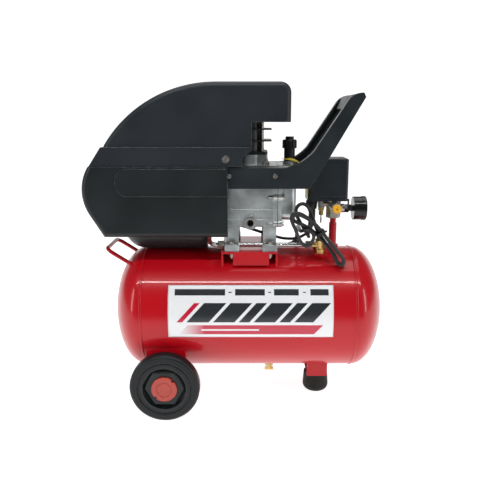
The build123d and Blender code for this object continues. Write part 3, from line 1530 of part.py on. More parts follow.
pin_r = 2.0
pin_pitch = 9.5
with BuildPart() as power_plug:
    plug_plane = Plane(origin=tuple(plug_start), x_dir=(1, 0, 0), z_dir=tuple(plug_way))
    with BuildSketch(plug_plane):
        Circle(6.5)
    with BuildSketch(plug_plane.offset(16)):
        RectangleRounded(30, 16, 7)
    loft()
    with BuildSketch(plug_plane.offset(16)):
        RectangleRounded(34, 18, 8)
    extrude(amount=22)
    with BuildSketch(plug_plane.offset(38)):
        with Locations((-pin_pitch, 0), (0, 3), (pin_pitch, 0)):
            Circle(pin_r)
    extrude(amount=19)
save(power_plug, "power_plug")
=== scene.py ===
import math

import bmesh
import bpy
import numpy as np
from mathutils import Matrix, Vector


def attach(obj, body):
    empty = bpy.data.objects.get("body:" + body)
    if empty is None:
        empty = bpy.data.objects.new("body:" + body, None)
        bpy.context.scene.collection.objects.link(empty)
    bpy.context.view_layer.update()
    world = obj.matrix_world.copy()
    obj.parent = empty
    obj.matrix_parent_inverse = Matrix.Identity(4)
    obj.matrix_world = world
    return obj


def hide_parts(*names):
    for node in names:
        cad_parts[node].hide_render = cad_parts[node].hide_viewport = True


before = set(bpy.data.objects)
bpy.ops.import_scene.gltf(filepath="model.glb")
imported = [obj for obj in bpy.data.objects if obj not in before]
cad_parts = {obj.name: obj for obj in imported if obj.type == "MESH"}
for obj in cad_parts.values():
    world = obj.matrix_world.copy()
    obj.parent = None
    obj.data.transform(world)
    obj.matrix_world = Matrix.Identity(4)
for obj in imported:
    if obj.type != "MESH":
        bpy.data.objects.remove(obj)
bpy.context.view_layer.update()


# ---------------------------------------------------------------------------
# The room: a pale seamless floor that curves up far behind the machine,
# faint white light all round, one long narrow lamp over the front, a tall
# soft box at each side and a wide one above.
# ---------------------------------------------------------------------------
def grid_mesh(name, points, closed_u=False, closed_v=False, uv=None):
    """Quads between neighbours of an array of points (rows, columns, 3)."""
    rows, cols = points.shape[:2]
    index = np.arange(rows * cols).reshape(rows, cols)
    a = np.arange(rows if closed_u else rows - 1)[:, None]
    b = np.arange(cols if closed_v else cols - 1)[None, :]
    a2, b2 = (a + 1) % rows, (b + 1) % cols
    quads = np.stack([index[a, b], index[a2, b], index[a2, b2], index[a, b2]], -1).reshape(-1, 4)
    mesh = bpy.data.meshes.new(name)
    mesh.from_pydata(points.reshape(-1, 3).tolist(), [], quads.tolist())
    if uv is not None:
        layer = mesh.uv_layers.new(name="UVMap")
        loops = np.empty(len(mesh.loops), np.int32)
        mesh.loops.foreach_get("vertex_index", loops)
        layer.data.foreach_set("uv", uv.reshape(-1, 2)[loops].astype(np.float32).ravel())
    mesh.polygons.foreach_set("use_smooth", np.ones(len(mesh.polygons), bool))
    mesh.update()
    piece = bpy.data.objects.new(name, mesh)
    bpy.context.scene.collection.objects.link(piece)
    return piece


def ranged(material, value, low, high, new_low, new_high):
    """The socket `value`, carried from the span low to high onto the span new_low to new_high."""
    node = material.node_tree.nodes.new("ShaderNodeMapRange")
    spans = {"From Min": low, "From Max": high, "To Min": new_low, "To Max": new_high}
    for socket, number in spans.items():
        node.inputs[socket].default_value = number
    material.node_tree.links.new(value, node.inputs["Value"])
    return node.outputs["Result"]


floor_half = 9.0
sweep_start, sweep_radius = 5.0, 3.0
glow_start, glow_full, glow_strength = -1.3, -0.5, 0.90
flat = np.linspace(-floor_half, sweep_start, 8)
turn = np.linspace(0, math.pi / 2, 24)[1:]
floor_y = np.concatenate([flat, sweep_start + sweep_radius * np.sin(turn)])
floor_z = np.concatenate([0 * flat, sweep_radius * (1 - np.cos(turn))])
floor_x = np.linspace(-floor_half, floor_half, 6)
room = grid_mesh("studio_floor", np.stack(np.broadcast_arrays(
    floor_x[:, None], floor_y[None, :], floor_z[None, :]), -1))
room_paper = bpy.data.materials.new("studio_paper")
room_paper.use_nodes = True
nodes, links = room_paper.node_tree.nodes, room_paper.node_tree.links
paper = nodes["Principled BSDF"]
paper.inputs["Roughness"].default_value = 0.9
paper.inputs["Emission Color"].default_value = (1, 1, 1, 1)
paper_where = nodes.new("ShaderNodeTexCoord")
paper_noise = nodes.new("ShaderNodeTexNoise")
paper_noise.inputs["Scale"].default_value = 3.0
paper_tint = nodes.new("ShaderNodeValToRGB")
paper_tint.color_ramp.elements[0].color = (0.60, 0.60, 0.60, 1)
paper_tint.color_ramp.elements[1].color = (0.62, 0.62, 0.62, 1)
paper_split = nodes.new("ShaderNodeSeparateXYZ")
links.new(paper_where.outputs["Object"], paper_noise.inputs["Vector"])
links.new(paper_noise.outputs["Fac"], paper_tint.inputs["Fac"])
links.new(paper_tint.outputs["Color"], paper.inputs["Base Color"])
links.new(paper_where.outputs["Object"], paper_split.inputs["Vector"])
paper_glow = ranged(room_paper, paper_split.outputs["Y"], glow_start, glow_full, 0, glow_strength)
links.new(paper_glow, paper.inputs["Emission Strength"])
room.data.materials.append(room_paper)

world = bpy.data.worlds.new("studio")
world.use_nodes = True
backdrop = world.node_tree.nodes["Background"]
backdrop.inputs["Color"].default_value = (1, 1, 1, 1)
backdrop.inputs["Strength"].default_value = 0.16
bpy.context.scene.world = world
bpy.context.scene.view_settings.view_transform = "Standard"


def soft_lamp(name, place, aim, width, height, power):
    """A rectangular soft box at `place`, facing `aim`."""
    lamp = bpy.data.lights.new(name, "AREA")
    lamp.shape = "RECTANGLE"
    lamp.size, lamp.size_y = width, height
    lamp.energy = power
    holder = bpy.data.objects.new(name, lamp)
    holder.location = place
    holder.rotation_euler = (Vector(aim) - Vector(place)).to_track_quat("-Z", "Y").to_euler()
    bpy.context.scene.collection.objects.link(holder)


soft_lamp("strip_lamp", (0.0, -1.15, 2.1), (0.0, -0.1, 0.25), 2.6, 0.10, 26)
soft_lamp("left_box", (-2.2, -1.3, 0.9), (0, 0, 0.3), 0.35, 1.6, 15)
soft_lamp("right_box", (2.2, -1.3, 0.9), (0, 0, 0.3), 0.35, 1.6, 15)
soft_lamp("top_box", (0.0, 0.6, 2.8), (0, 0, 0.3), 2.4, 2.0, 34)

camera = bpy.data.cameras.new("camera")
camera.lens = 42.1
camera.sensor_width = 36
viewer = bpy.data.objects.new("camera", camera)
viewer.location = (0.024, -1.1927, 0.5868)
viewer.rotation_euler = (math.radians(77), 0, 0)
bpy.context.scene.collection.objects.link(viewer)
bpy.context.scene.camera = viewer


# ---------------------------------------------------------------------------
# Air tank: rolled steel barrel, two dished ends, bosses, a bent rod at the
# wheel end, the pump platform, both wheel brackets and the foot's bracket.
# All of it is welded up and powder coated in one glossy red.
# ---------------------------------------------------------------------------
def finish_of(name, colour, rough, metal=0.0, mottle=0.1, patch=0.05, grain=0.0015, relief=0.00004,
              rim=0.0006, worn=None, coat=0.0, gloss=0.5, drift=0.15, stretch=(1, 1, 1)):
    """Colour drifts by `mottle` over patches of `patch` metres and roughness by `drift` with it.
    A relief of `relief` metres repeats every `grain` metres on edges softened to `rim`, and
    `worn` is the colour of rubbed edges."""
    mat = bpy.data.materials.new(name)
    mat.use_nodes = True
    nodes, links = mat.node_tree.nodes, mat.node_tree.links
    shader = nodes["Principled BSDF"]
    shader.inputs["Metallic"].default_value = metal
    shader.inputs["Specular IOR Level"].default_value = gloss
    if coat:
        shader.inputs["Coat Weight"].default_value = coat
        shader.inputs["Coat Roughness"].default_value = 0.05
    where = nodes.new("ShaderNodeTexCoord")
    place = nodes.new("ShaderNodeMapping")
    place.inputs["Scale"].default_value = stretch
    links.new(where.outputs["Object"], place.inputs["Vector"])

    def cloud(size, detail):
        """Noise whose spots are about `size` metres across."""
        noise = nodes.new("ShaderNodeTexNoise")
        noise.inputs["Scale"].default_value = 1 / size
        noise.inputs["Detail"].default_value = detail
        links.new(place.outputs["Vector"], noise.inputs["Vector"])
        return noise.outputs["Fac"]

    broad, fine = cloud(patch, 5), cloud(grain, 2)
    tint = nodes.new("ShaderNodeMix")
    tint.data_type = "RGBA"
    tint.inputs[6].default_value = (*[c * (1 - mottle) for c in colour], 1)
    tint.inputs[7].default_value = (*[min(1, c * (1 + mottle)) for c in colour], 1)
    links.new(ranged(mat, broad, 0.35, 0.65, 0, 1), tint.inputs[0])
    colour_out = tint.outputs[2]
    dullness = ranged(mat, broad, 0.35, 0.65, (1 - drift) * rough, (1 + drift) * rough)
    links.new(dullness, shader.inputs["Roughness"])
    soft = nodes.new("ShaderNodeBevel")
    soft.inputs["Radius"].default_value = rim
    if worn:
        shape = nodes.new("ShaderNodeNewGeometry")
        agree = nodes.new("ShaderNodeVectorMath")
        agree.operation = "DOT_PRODUCT"
        links.new(soft.outputs["Normal"], agree.inputs[0])
        links.new(shape.outputs["Normal"], agree.inputs[1])
        rubbed = nodes.new("ShaderNodeMath")
        rubbed.operation = "MULTIPLY"
        links.new(ranged(mat, agree.outputs["Value"], 0.985, 0.80, 0, 1), rubbed.inputs[0])
        links.new(ranged(mat, cloud(0.006, 6), 0.42, 0.62, 0.15, 1), rubbed.inputs[1])
        edge = nodes.new("ShaderNodeMix")
        edge.data_type = "RGBA"
        edge.inputs[7].default_value = (*worn, 1)
        links.new(rubbed.outputs[0], edge.inputs[0])
        links.new(colour_out, edge.inputs[6])
        colour_out = edge.outputs[2]
    links.new(colour_out, shader.inputs["Base Color"])
    bump = nodes.new("ShaderNodeBump")
    bump.inputs["Distance"].default_value = relief
    links.new(fine, bump.inputs["Height"])
    links.new(soft.outputs["Normal"], bump.inputs["Normal"])
    links.new(bump.outputs["Normal"], shader.inputs["Normal"])
    return mat


def dress(material, *names):
    """The named CAD pieces take this finish."""
    for name in names:
        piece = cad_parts[name]
        if not piece.material_slots:
            piece.data.materials.append(material)
        for place in piece.material_slots:
            place.material = material


red_paint = finish_of("red_paint", (0.46, 0.002, 0.008), 0.30, mottle=0.03, patch=0.20, grain=0.003,
                      relief=0.000008, rim=0.0010, coat=0.40, gloss=0.22, drift=0.02)
dress(red_paint, "tank_barrel", "tank_ends", "tank_ports", "tank_handle_rod", "pump_platform",
      "wheel_brackets", "foot_bracket", "riser_pipe")
tank_x, tank_z, tank_radius = 0.0215, 0.193, 0.125


# ---------------------------------------------------------------------------
# Label on the front of the tank: printed white film stuck round the barrel,
# with plain dark bars and a slanted red band, and nothing to read.
# ---------------------------------------------------------------------------
label_left, label_right = tank_x - 0.156, tank_x + 0.164
label_low, label_high = math.radians(-12.5), math.radians(35.3)
film_white, black_ink, red_ink = (0.80, 0.81, 0.83), (0.018, 0.021, 0.026), (0.50, 0.004, 0.035)
u, v = np.meshgrid(np.linspace(0, 1, 90), np.linspace(0, 1, 48), indexing="ij")
angle = label_low + (label_high - label_low) * v
lift = tank_radius + 0.0003
label = grid_mesh("tank_label", np.stack([
    label_left + (label_right - label_left) * u, -lift * np.cos(angle), tank_z + lift * np.sin(angle)], -1),
    uv=np.stack([u, v], -1))
film = label.modifiers.new("film", "SOLIDIFY")
film.thickness = 0.0002
film.offset = -1
label_print = finish_of("label_print", film_white, 0.22, mottle=0.01, relief=0.000003, coat=0.6)
nodes, links = label_print.node_tree.nodes, label_print.node_tree.links
label_uv = nodes.new("ShaderNodeUVMap")
label_uv.uv_map = "UVMap"
split = nodes.new("ShaderNodeSeparateXYZ")
links.new(label_uv.outputs["UV"], split.inputs["Vector"])


def calc(operation, a, b):
    """One number from two numbers or sockets."""
    node = nodes.new("ShaderNodeMath")
    node.operation = operation
    for socket, value in zip(node.inputs, (a, b)):
        if isinstance(value, (int, float)):
            socket.default_value = value
        else:
            links.new(value, socket)
    return node.outputs[0]


def within(place, low, high):
    """One where the socket `place` is between low and high."""
    away = calc("ABSOLUTE", calc("SUBTRACT", place, (low + high) / 2), 0)
    return calc("LESS_THAN", away, (high - low) / 2)


def bar(left, right, low, high, lean=0.0):
    """One inside a bar that leans to the right by `lean` label lengths over the label's height."""
    above = calc("SUBTRACT", split.outputs["Y"], (low + high) / 2)
    shifted = calc("SUBTRACT", split.outputs["X"], calc("MULTIPLY", above, lean))
    return calc("MULTIPLY", within(shifted, left, right), within(split.outputs["Y"], low, high))


def inked(under, mask, ink):
    """The colour `under`, printed over with `ink` where the mask is one."""
    node = nodes.new("ShaderNodeMix")
    node.data_type = "RGBA"
    node.inputs[7].default_value = (*ink, 1)
    links.new(mask, node.inputs[0])
    links.new(under, node.inputs[6])
    return node.outputs[2]


lean = 0.30
top_row = [(0.04, 0.345), (0.405, 0.585), (0.64, 0.79), (0.86, 0.97)]
dashes = [(0.365, 0.385), (0.605, 0.622), (0.815, 0.832)]
main_row = [(0.165, 0.30), (0.325, 0.455), (0.48, 0.545), (0.57, 0.70), (0.725, 0.79), (0.815, 0.93)]
rows = [(top_row, 0.80, 0.92, 0.0), (dashes, 0.848, 0.868, 0.0), (main_row, 0.30, 0.66, lean)]
printed = nodes["Principled BSDF"].inputs["Base Color"].links[0].from_socket
for bars, low, high, slant in rows:
    for left, right in bars:
        printed = inked(printed, bar(left, right, low, high, slant), black_ink)
printed = inked(printed, bar(0.105, 0.14, 0.30, 0.66, lean), red_ink)
band_fade = ranged(label_print, split.outputs["X"], 0.06, 0.22, 0, 1)
printed = inked(printed, calc("MULTIPLY", bar(0.09, 0.91, 0.06, 0.245, lean), band_fade), red_ink)
printed = inked(printed, bar(0.20, 0.55, 0.135, 0.165), film_white)
links.new(printed, nodes["Principled BSDF"].inputs["Base Color"])
label.data.materials.append(label_print)
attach(label, "frame")


# ---------------------------------------------------------------------------
# Wheels: solid black rubber tyre on a moulded hub with a six-sided dish, and
# a snap-in red cap over the axle bolt.
# ---------------------------------------------------------------------------
wheel_x, wheel_z = -0.1425, 0.0685


def ringed(material, spacing, relief, centre):
    """Adds moulded rings round the Y axis through `centre` to a finish."""
    nodes, links = material.node_tree.nodes, material.node_tree.links
    where = nodes.new("ShaderNodeTexCoord")
    place = nodes.new("ShaderNodeMapping")
    place.inputs["Location"].default_value = [-c for c in centre]
    wave = nodes.new("ShaderNodeTexWave")
    wave.wave_type, wave.rings_direction = "RINGS", "Y"
    wave.inputs["Scale"].default_value = 0.314 / spacing
    links.new(where.outputs["Object"], place.inputs["Vector"])
    links.new(place.outputs["Vector"], wave.inputs["Vector"])
    rings = nodes.new("ShaderNodeBump")
    rings.inputs["Distance"].default_value = relief
    last = nodes["Principled BSDF"].inputs["Normal"].links[0].from_socket
    links.new(wave.outputs["Fac"], rings.inputs["Height"])
    links.new(last, rings.inputs["Normal"])
    links.new(rings.outputs["Normal"], nodes["Principled BSDF"].inputs["Normal"])


tyre_rubber = finish_of("tyre_rubber", (0.0065, 0.0080, 0.0095), 0.45, gloss=0.30, mottle=0.25,
                        patch=0.03, grain=0.0012, relief=0.00005, rim=0.0015, worn=(0.05, 0.05, 0.05))
ringed(tyre_rubber, 0.006, 0.00025, (wheel_x, 0, wheel_z))
hub_plastic = finish_of("hub_plastic", (0.0060, 0.0085, 0.0090), 0.34, gloss=0.36, mottle=0.15,
                        patch=0.03, grain=0.0008, relief=0.00003, rim=0.0012, worn=(0.045, 0.05, 0.05))
cap_plastic = finish_of("cap_plastic", (0.40, 0.035, 0.018), 0.30, mottle=0.06, patch=0.02, grain=0.001,
                        relief=0.00002, rim=0.0008, coat=0.2)
dress(tyre_rubber, "tyre_front", "tyre_rear")
dress(hub_plastic, "wheel_hub_front", "wheel_hub_rear")
dress(cap_plastic, "wheel_cap_front", "wheel_cap_rear")


# ---------------------------------------------------------------------------
# Foot: one turned rubber block that wraps the end of its bracket and keeps
# the tank level with the wheels.
# ---------------------------------------------------------------------------
foot_rubber = finish_of("foot_rubber", (0.0075, 0.0080, 0.0065), 0.60, gloss=0.30, mottle=0.3,
                        patch=0.012, grain=0.0009, relief=0.00010, rim=0.0018, worn=(0.05, 0.05, 0.045))
dress(foot_rubber, "rubber_foot", "gaskets")


# ---------------------------------------------------------------------------
# Pump: die-cast aluminium crankcase, end cover and head over an iron barrel.
# The castings are blasted, so they have a fine pale grain with darker
# patches where oil and hands have been.
# ---------------------------------------------------------------------------
cast_aluminium = finish_of("cast_aluminium", (0.47, 0.505, 0.51), 0.36, metal=0.9, mottle=0.24,
                           patch=0.035, grain=0.0011, relief=0.00007, rim=0.0012, worn=(0.62, 0.64, 0.65))
grey_iron = finish_of("grey_iron", (0.10, 0.10, 0.10), 0.5, metal=0.8, mottle=0.25, patch=0.02,
                      grain=0.0012, relief=0.00012, rim=0.0008, worn=(0.2, 0.2, 0.2))
barrel_black = finish_of("barrel_black", (0.012, 0.013, 0.014), 0.42, mottle=0.25, patch=0.02,
                         grain=0.0012, relief=0.00008, rim=0.0006, worn=(0.09, 0.09, 0.09))
dress(cast_aluminium, "crankcase", "end_cover", "cylinder_head", "motor_end_bracket", "crank_disc", "piston",
      "connecting_rod")
dress(barrel_black, "cylinder")
dress(grey_iron, "valve_plate", "stator", "rotor")
aluminium_tube = finish_of("aluminium_tube", (0.58, 0.59, 0.59), 0.28, metal=1.0, mottle=0.1, patch=0.012,
                           grain=0.0007, relief=0.00003, rim=0.0004)
dress(aluminium_tube, "discharge_pipe")
sight_centre, sight_lens_r = (0.0245, 0.0, 0.381), 0.0066
sight_steel = finish_of("sight_steel", (0.45, 0.45, 0.44), 0.28, metal=1.0, mottle=0.15, patch=0.006,
                        rim=0.0006)
nodes, links = sight_steel.node_tree.nodes, sight_steel.node_tree.links
sight_shader = nodes["Principled BSDF"]
from_axis = nodes.new("ShaderNodeVectorMath")
from_axis.operation = "DISTANCE"
from_axis.inputs[1].default_value = sight_centre
flatten = nodes.new("ShaderNodeMapping")
flatten.inputs["Scale"].default_value = (1, 0, 1)
sight_where = nodes.new("ShaderNodeTexCoord")
links.new(sight_where.outputs["Object"], flatten.inputs["Vector"])
links.new(flatten.outputs["Vector"], from_axis.inputs[0])
is_lens = nodes.new("ShaderNodeMath")
is_lens.operation = "LESS_THAN"
is_lens.inputs[1].default_value = sight_lens_r
links.new(from_axis.outputs["Value"], is_lens.inputs[0])
lens_tint = nodes.new("ShaderNodeMix")
lens_tint.data_type = "RGBA"
lens_tint.inputs[7].default_value = (0.012, 0.010, 0.008, 1)
links.new(is_lens.outputs[0], lens_tint.inputs[0])
links.new(sight_shader.inputs["Base Color"].links[0].from_socket, lens_tint.inputs[6])
links.new(lens_tint.outputs[2], sight_shader.inputs["Base Color"])
dress(sight_steel, "sight_glass")


# ---------------------------------------------------------------------------
# Fastenings and shafts: zinc plated bolts, nuts, washers, turned steel shaft
# and bearings, with a faint yellow in the plating.
# ---------------------------------------------------------------------------
zinc_steel = finish_of("zinc_steel", (0.42, 0.41, 0.37), 0.28, metal=1.0, mottle=0.15, patch=0.006,
                       grain=0.0008, relief=0.00003, rim=0.0005, worn=(0.75, 0.75, 0.72))
turned_steel = finish_of("turned_steel", (0.42, 0.42, 0.42), 0.22, metal=1.0, mottle=0.1, patch=0.01,
                         grain=0.0006, relief=0.00002, rim=0.0005, stretch=(8, 1, 1))
dress(zinc_steel, "axle_bolts", "pump_bolts", "mounting_bolts", "panel_screws", "safety_ring")
dress(turned_steel, "motor_shaft", "bearings")


# ---------------------------------------------------------------------------
# Motor shroud: two satin black plastic shells that meet on one level, with
# paler rubbed edges where the machine is gripped and stacked. The lower shell
# takes the same plastic painted darker, as painted shade under the lit upper shell.
# ---------------------------------------------------------------------------
shroud_plastic = finish_of("shroud_plastic", (0.0150, 0.0190, 0.0235), 0.42, gloss=0.32, mottle=0.10,
                           patch=0.09, grain=0.0010, relief=0.00006, rim=0.0018, worn=(0.17, 0.18, 0.19))
# The shroud plastic painted darker: painted shade for the lower shell and the belly.
shaded_shroud_plastic = finish_of("shaded_shroud_plastic", (0.0085, 0.0120, 0.0135), 0.40, gloss=0.32, mottle=0.14,
                          patch=0.09, grain=0.0010, relief=0.00006, rim=0.0018, worn=(0.16, 0.17, 0.18))
black_plastic = finish_of("black_plastic", (0.0080, 0.0095, 0.0105), 0.40, gloss=0.30, mottle=0.12,
                          patch=0.03, grain=0.0009, relief=0.00005, rim=0.0010, worn=(0.07, 0.075, 0.08))
dress(shroud_plastic, "shroud_upper")
dress(shaded_shroud_plastic, "shroud_lower")
dress(black_plastic, "air_filter", "run_capacitor", "fan")


# ---------------------------------------------------------------------------
# Shade under the shroud: a rounded black body under the motor that fills the
# space down to just above the tank, with a rounded left end. It is painted shade,
# standing for the tank's top in the shroud's shadow with the shroud's dark
# underside reflected in it.
# ---------------------------------------------------------------------------
def sealed(piece, smooth=True):
    """Joins the points of a closed grid mesh that lie in one place, and turns its faces outward."""
    net = bmesh.new()
    net.from_mesh(piece.data)
    bmesh.ops.remove_doubles(net, verts=net.verts, dist=1e-7)
    bmesh.ops.recalc_face_normals(net, faces=net.faces)
    for face in net.faces:
        face.smooth = smooth
    net.to_mesh(piece.data)
    net.free()
    return piece


belly_left, belly_right, belly_half = -0.232, -0.0635, 0.066
belly_top, belly_low, nose_length = 0.3605, 0.3192, 0.045
nose_x = belly_left + nose_length * (1 - np.cos(np.linspace(0, math.pi / 2, 14)))
belly_x = np.concatenate([nose_x, np.linspace(nose_x[-1] + 0.010, belly_right, 10)])
from_nose = np.clip((nose_x[-1] - belly_x) / nose_length, 0, 1)
belly_size = np.sqrt(np.clip(1 - from_nose ** 2, 1e-6, 1))
belly_x = np.concatenate([belly_x[:1], belly_x, belly_x[-1:]])
belly_size = np.concatenate([[0], belly_size, [0]])[:, None]
belly_lap = np.linspace(0, math.pi, 33)
belly_lid = np.linspace(-1, 1, 9)[1:-1]
belly_y = np.concatenate([np.cos(belly_lap), belly_lid])
belly_drop = np.concatenate([np.sin(belly_lap), 0 * belly_lid])
shade_belly = sealed(grid_mesh("painted_shade_belly", np.stack([
    belly_x[:, None] + 0 * belly_y, belly_half * belly_size * belly_y,
    belly_top - (belly_top - belly_low) * belly_size * belly_drop], -1), closed_v=True))
# The belly takes the darker shroud plastic: painted shade.
shade_belly.data.materials.append(shaded_shroud_plastic)
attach(shade_belly, "frame")


# ---------------------------------------------------------------------------
# Carry handle: one glass-filled plastic moulding, two arms and a grip,
# screwed to both sides of the crankcase.
# ---------------------------------------------------------------------------
handle_plastic = finish_of("handle_plastic", (0.0120, 0.0165, 0.0195), 0.38, gloss=0.34, mottle=0.10,
                           patch=0.05, grain=0.0010, relief=0.00005, rim=0.0016, worn=(0.10, 0.105, 0.11))
dress(handle_plastic, "carry_handle")


# ---------------------------------------------------------------------------
# Pressure switch: ribbed black box with its lever and two cable glands on a
# zinc-alloy manifold, with the gauge, the safety valve and the plugged
# outlet screwed into it.
# ---------------------------------------------------------------------------
switch_plastic = finish_of("switch_plastic", (0.0125, 0.0165, 0.0200), 0.40, gloss=0.32, mottle=0.10,
                           patch=0.04, grain=0.0009, relief=0.00005, rim=0.0012, worn=(0.08, 0.085, 0.09))
dress(switch_plastic, "switch_base", "switch_cover")
dress(black_plastic, "switch_lever", "cable_glands", "oil_filler_cap")
gauge_black = finish_of("gauge_black", (0.003, 0.004, 0.004), 0.20, gloss=0.40, mottle=0.1, patch=0.02,
                        grain=0.001, relief=0.00002, rim=0.0008, worn=(0.10, 0.10, 0.095))
dress(gauge_black, "gauge_case")
needle_red = finish_of("needle_red", (0.5, 0.02, 0.02), 0.35, mottle=0.05)
dress(needle_red, "gauge_needle")
zinc_alloy = finish_of("zinc_alloy", (0.44, 0.42, 0.38), 0.38, metal=0.95, mottle=0.2, patch=0.01,
                       grain=0.0008, relief=0.00005, rim=0.0008, worn=(0.6, 0.59, 0.56))
dress(zinc_alloy, "manifold", "pipe_nuts")
brass = finish_of("brass", (0.55, 0.40, 0.15), 0.32, metal=1.0, mottle=0.25, patch=0.008, grain=0.0008,
                  relief=0.00004, rim=0.0006, worn=(0.72, 0.58, 0.28))
dress(brass, "check_valve", "safety_valve", "drain_body", "drain_screw")
yellow_plastic = finish_of("yellow_plastic", (0.80, 0.40, 0.02), 0.35, mottle=0.06, patch=0.01,
                           rim=0.0006)
dress(yellow_plastic, "outlet_cap")
gauge_x, gauge_z, dial_radius = 0.2556, 0.400, 0.0222
scale_start, scale_sweep, scale_marks, marks_per_number = 225, 270, 61, 10
mark_end, number_radius, number_height = 0.0204, 0.0138, 0.0046
out, go = np.meshgrid(np.linspace(0, 1, 14), np.linspace(0, 2 * math.pi, 97)[:-1], indexing="ij")
dial = grid_mesh("gauge_dial", np.stack([
    np.full_like(out, gauge_x + 0.0002), dial_radius * out * np.cos(go),
    gauge_z + dial_radius * out * np.sin(go)], -1), closed_v=True)
dial_card = dial.modifiers.new("card", "SOLIDIFY")
dial_card.thickness = 0.0004
dial_card.offset = -1
dial_white = finish_of("dial_white", (0.78, 0.79, 0.78), 0.5, mottle=0.02, relief=0.000002)
dial.data.materials.append(dial_white)
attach(dial, "frame")
dial_ink = finish_of("dial_ink", (0.02, 0.02, 0.02), 0.5, mottle=0.1)
mark = np.arange(scale_marks)
mark_turn = np.radians(scale_start - scale_sweep * mark / (scale_marks - 1))
is_long = mark % marks_per_number == 0
mark_start = np.where(is_long, 0.0172, 0.0188)[:, None]
mark_half = np.where(is_long, 0.00028, 0.00014)[:, None]
outward = np.stack([np.cos(mark_turn), np.sin(mark_turn)], -1)[:, None]
sideways = np.stack([-np.sin(mark_turn), np.cos(mark_turn)], -1)[:, None]
ends, sides = np.array([0, 1, 1, 0]), np.array([-1, -1, 1, 1])
flat_marks = outward * (mark_start + (mark_end - mark_start) * ends)[..., None]
flat_marks = flat_marks + sideways * (mark_half * sides)[..., None]
mark_points = np.concatenate([
    np.concatenate([np.full((scale_marks, 4, 1), gauge_x + height), flat_marks], -1)
    for height in (0.00022, 0.00040)], 1)
mark_points[..., 2] += gauge_z
block = np.array([[3, 2, 1, 0], [4, 5, 6, 7], [0, 1, 5, 4], [1, 2, 6, 5], [2, 3, 7, 6], [3, 0, 4, 7]])
mark_mesh = bpy.data.meshes.new("dial_marks")
mark_mesh.from_pydata(mark_points.reshape(-1, 3).tolist(), [],
                      (mark[:, None, None] * 8 + block).reshape(-1, 4).tolist())
dial_marks = bpy.data.objects.new("dial_marks", mark_mesh)
bpy.context.scene.collection.objects.link(dial_marks)
dial_marks.data.materials.append(dial_ink)
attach(dial_marks, "frame")
for number in range(scale_marks // marks_per_number + 1):
    words = bpy.data.curves.new("dial_number", "FONT")
    words.body = str(2 * number)
    words.size = number_height
    words.extrude = 0.00008
    words.align_x, words.align_y = "CENTER", "CENTER"
    maker = bpy.data.objects.new("dial_number_maker", words)
    drawn = bpy.data.meshes.new_from_object(maker)
    bpy.data.objects.remove(maker)
    corners = np.empty(len(drawn.vertices) * 3)
    drawn.vertices.foreach_get("co", corners)
    right, up, forward = corners.reshape(-1, 3).T
    at = mark_turn[number * marks_per_number]
    placed = np.stack([gauge_x + 0.0003 + forward, number_radius * math.cos(at) + right,
                       gauge_z + number_radius * math.sin(at) + up], -1)
    drawn.vertices.foreach_set("co", placed.ravel())
    digit = bpy.data.objects.new(f"dial_number_{number}", drawn)
    bpy.context.scene.collection.objects.link(digit)
    digit.data.materials.clear()
    digit.data.materials.append(dial_ink)
    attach(digit, "frame")


# ---------------------------------------------------------------------------
# Blank yellow film on the left side of the switch, and the soft yellow tag
# under the oil filler's cap, which is bent down and lifts with the cap.
# ---------------------------------------------------------------------------
def swept(name, path, outline, up, closed=False):
    """Carries a flat outline along a path. Each ring is the path's point plus the outline's first
    number across the path and its second along `up` made square to the path."""
    path, outline = np.array(path, float), np.array(outline, float)
    ahead = np.roll(path, -1, 0) - np.roll(path, 1, 0)
    if not closed:
        ahead[0], ahead[-1] = path[1] - path[0], path[-1] - path[-2]
    ahead /= np.linalg.norm(ahead, axis=1)[:, None]
    up = np.broadcast_to(np.array(up, float), path.shape)
    rise = up - ahead * (up * ahead).sum(1)[:, None]
    rise /= np.linalg.norm(rise, axis=1)[:, None]
    across = np.cross(ahead, rise)
    rings = path[:, None] + across[:, None] * outline[None, :, :1] + rise[:, None] * outline[None, :, 1:]
    if not closed:
        first, last = rings[:1].mean(1, keepdims=True), rings[-1:].mean(1, keepdims=True)
        caps = [np.repeat(point, len(outline), 1) for point in (first, last)]
        rings = np.concatenate([caps[0], rings, caps[1]])
    return sealed(grid_mesh(name, rings, closed_u=closed, closed_v=True))


def rounded(width, height, corner, steps=4):
    """Outline of a rectangle with round corners."""
    bend = np.linspace(0, math.pi / 2, steps)
    arc = np.stack([np.cos(bend), np.sin(bend)], -1) * corner
    middle = np.array([width / 2 - corner, height / 2 - corner])
    quarters = [(arc, (1, 1)), (arc[::-1], (-1, 1)), (arc, (-1, -1)), (arc[::-1], (1, -1))]
    return np.concatenate([(middle + quarter) * np.array(side) for quarter, side in quarters])


def eased(points, steps=10):
    """A smooth path through the points. On each stretch b to c, with a before it and d after it, the
    path is half of 2b + (c - a)t + (2a - 5b + 4c - d)t^2 + (3b - a - 3c + d)t^3, for t from 0 to 1."""
    p = np.array(points, float)
    p = np.concatenate([[2 * p[0] - p[1]], p, [2 * p[-1] - p[-2]]])
    t = np.linspace(0, 1, steps, endpoint=False)[None, :, None]
    a, b, c, d = (q[:, None] for q in (p[:-3], p[1:-2], p[2:-1], p[3:]))
    run = 2 * b + (c - a) * t + (2 * a - 5 * b + 4 * c - d) * t ** 2 + (3 * b - a - 3 * c + d) * t ** 3
    run *= 0.5
    return np.concatenate([run.reshape(-1, 3), p[-2:-1]])


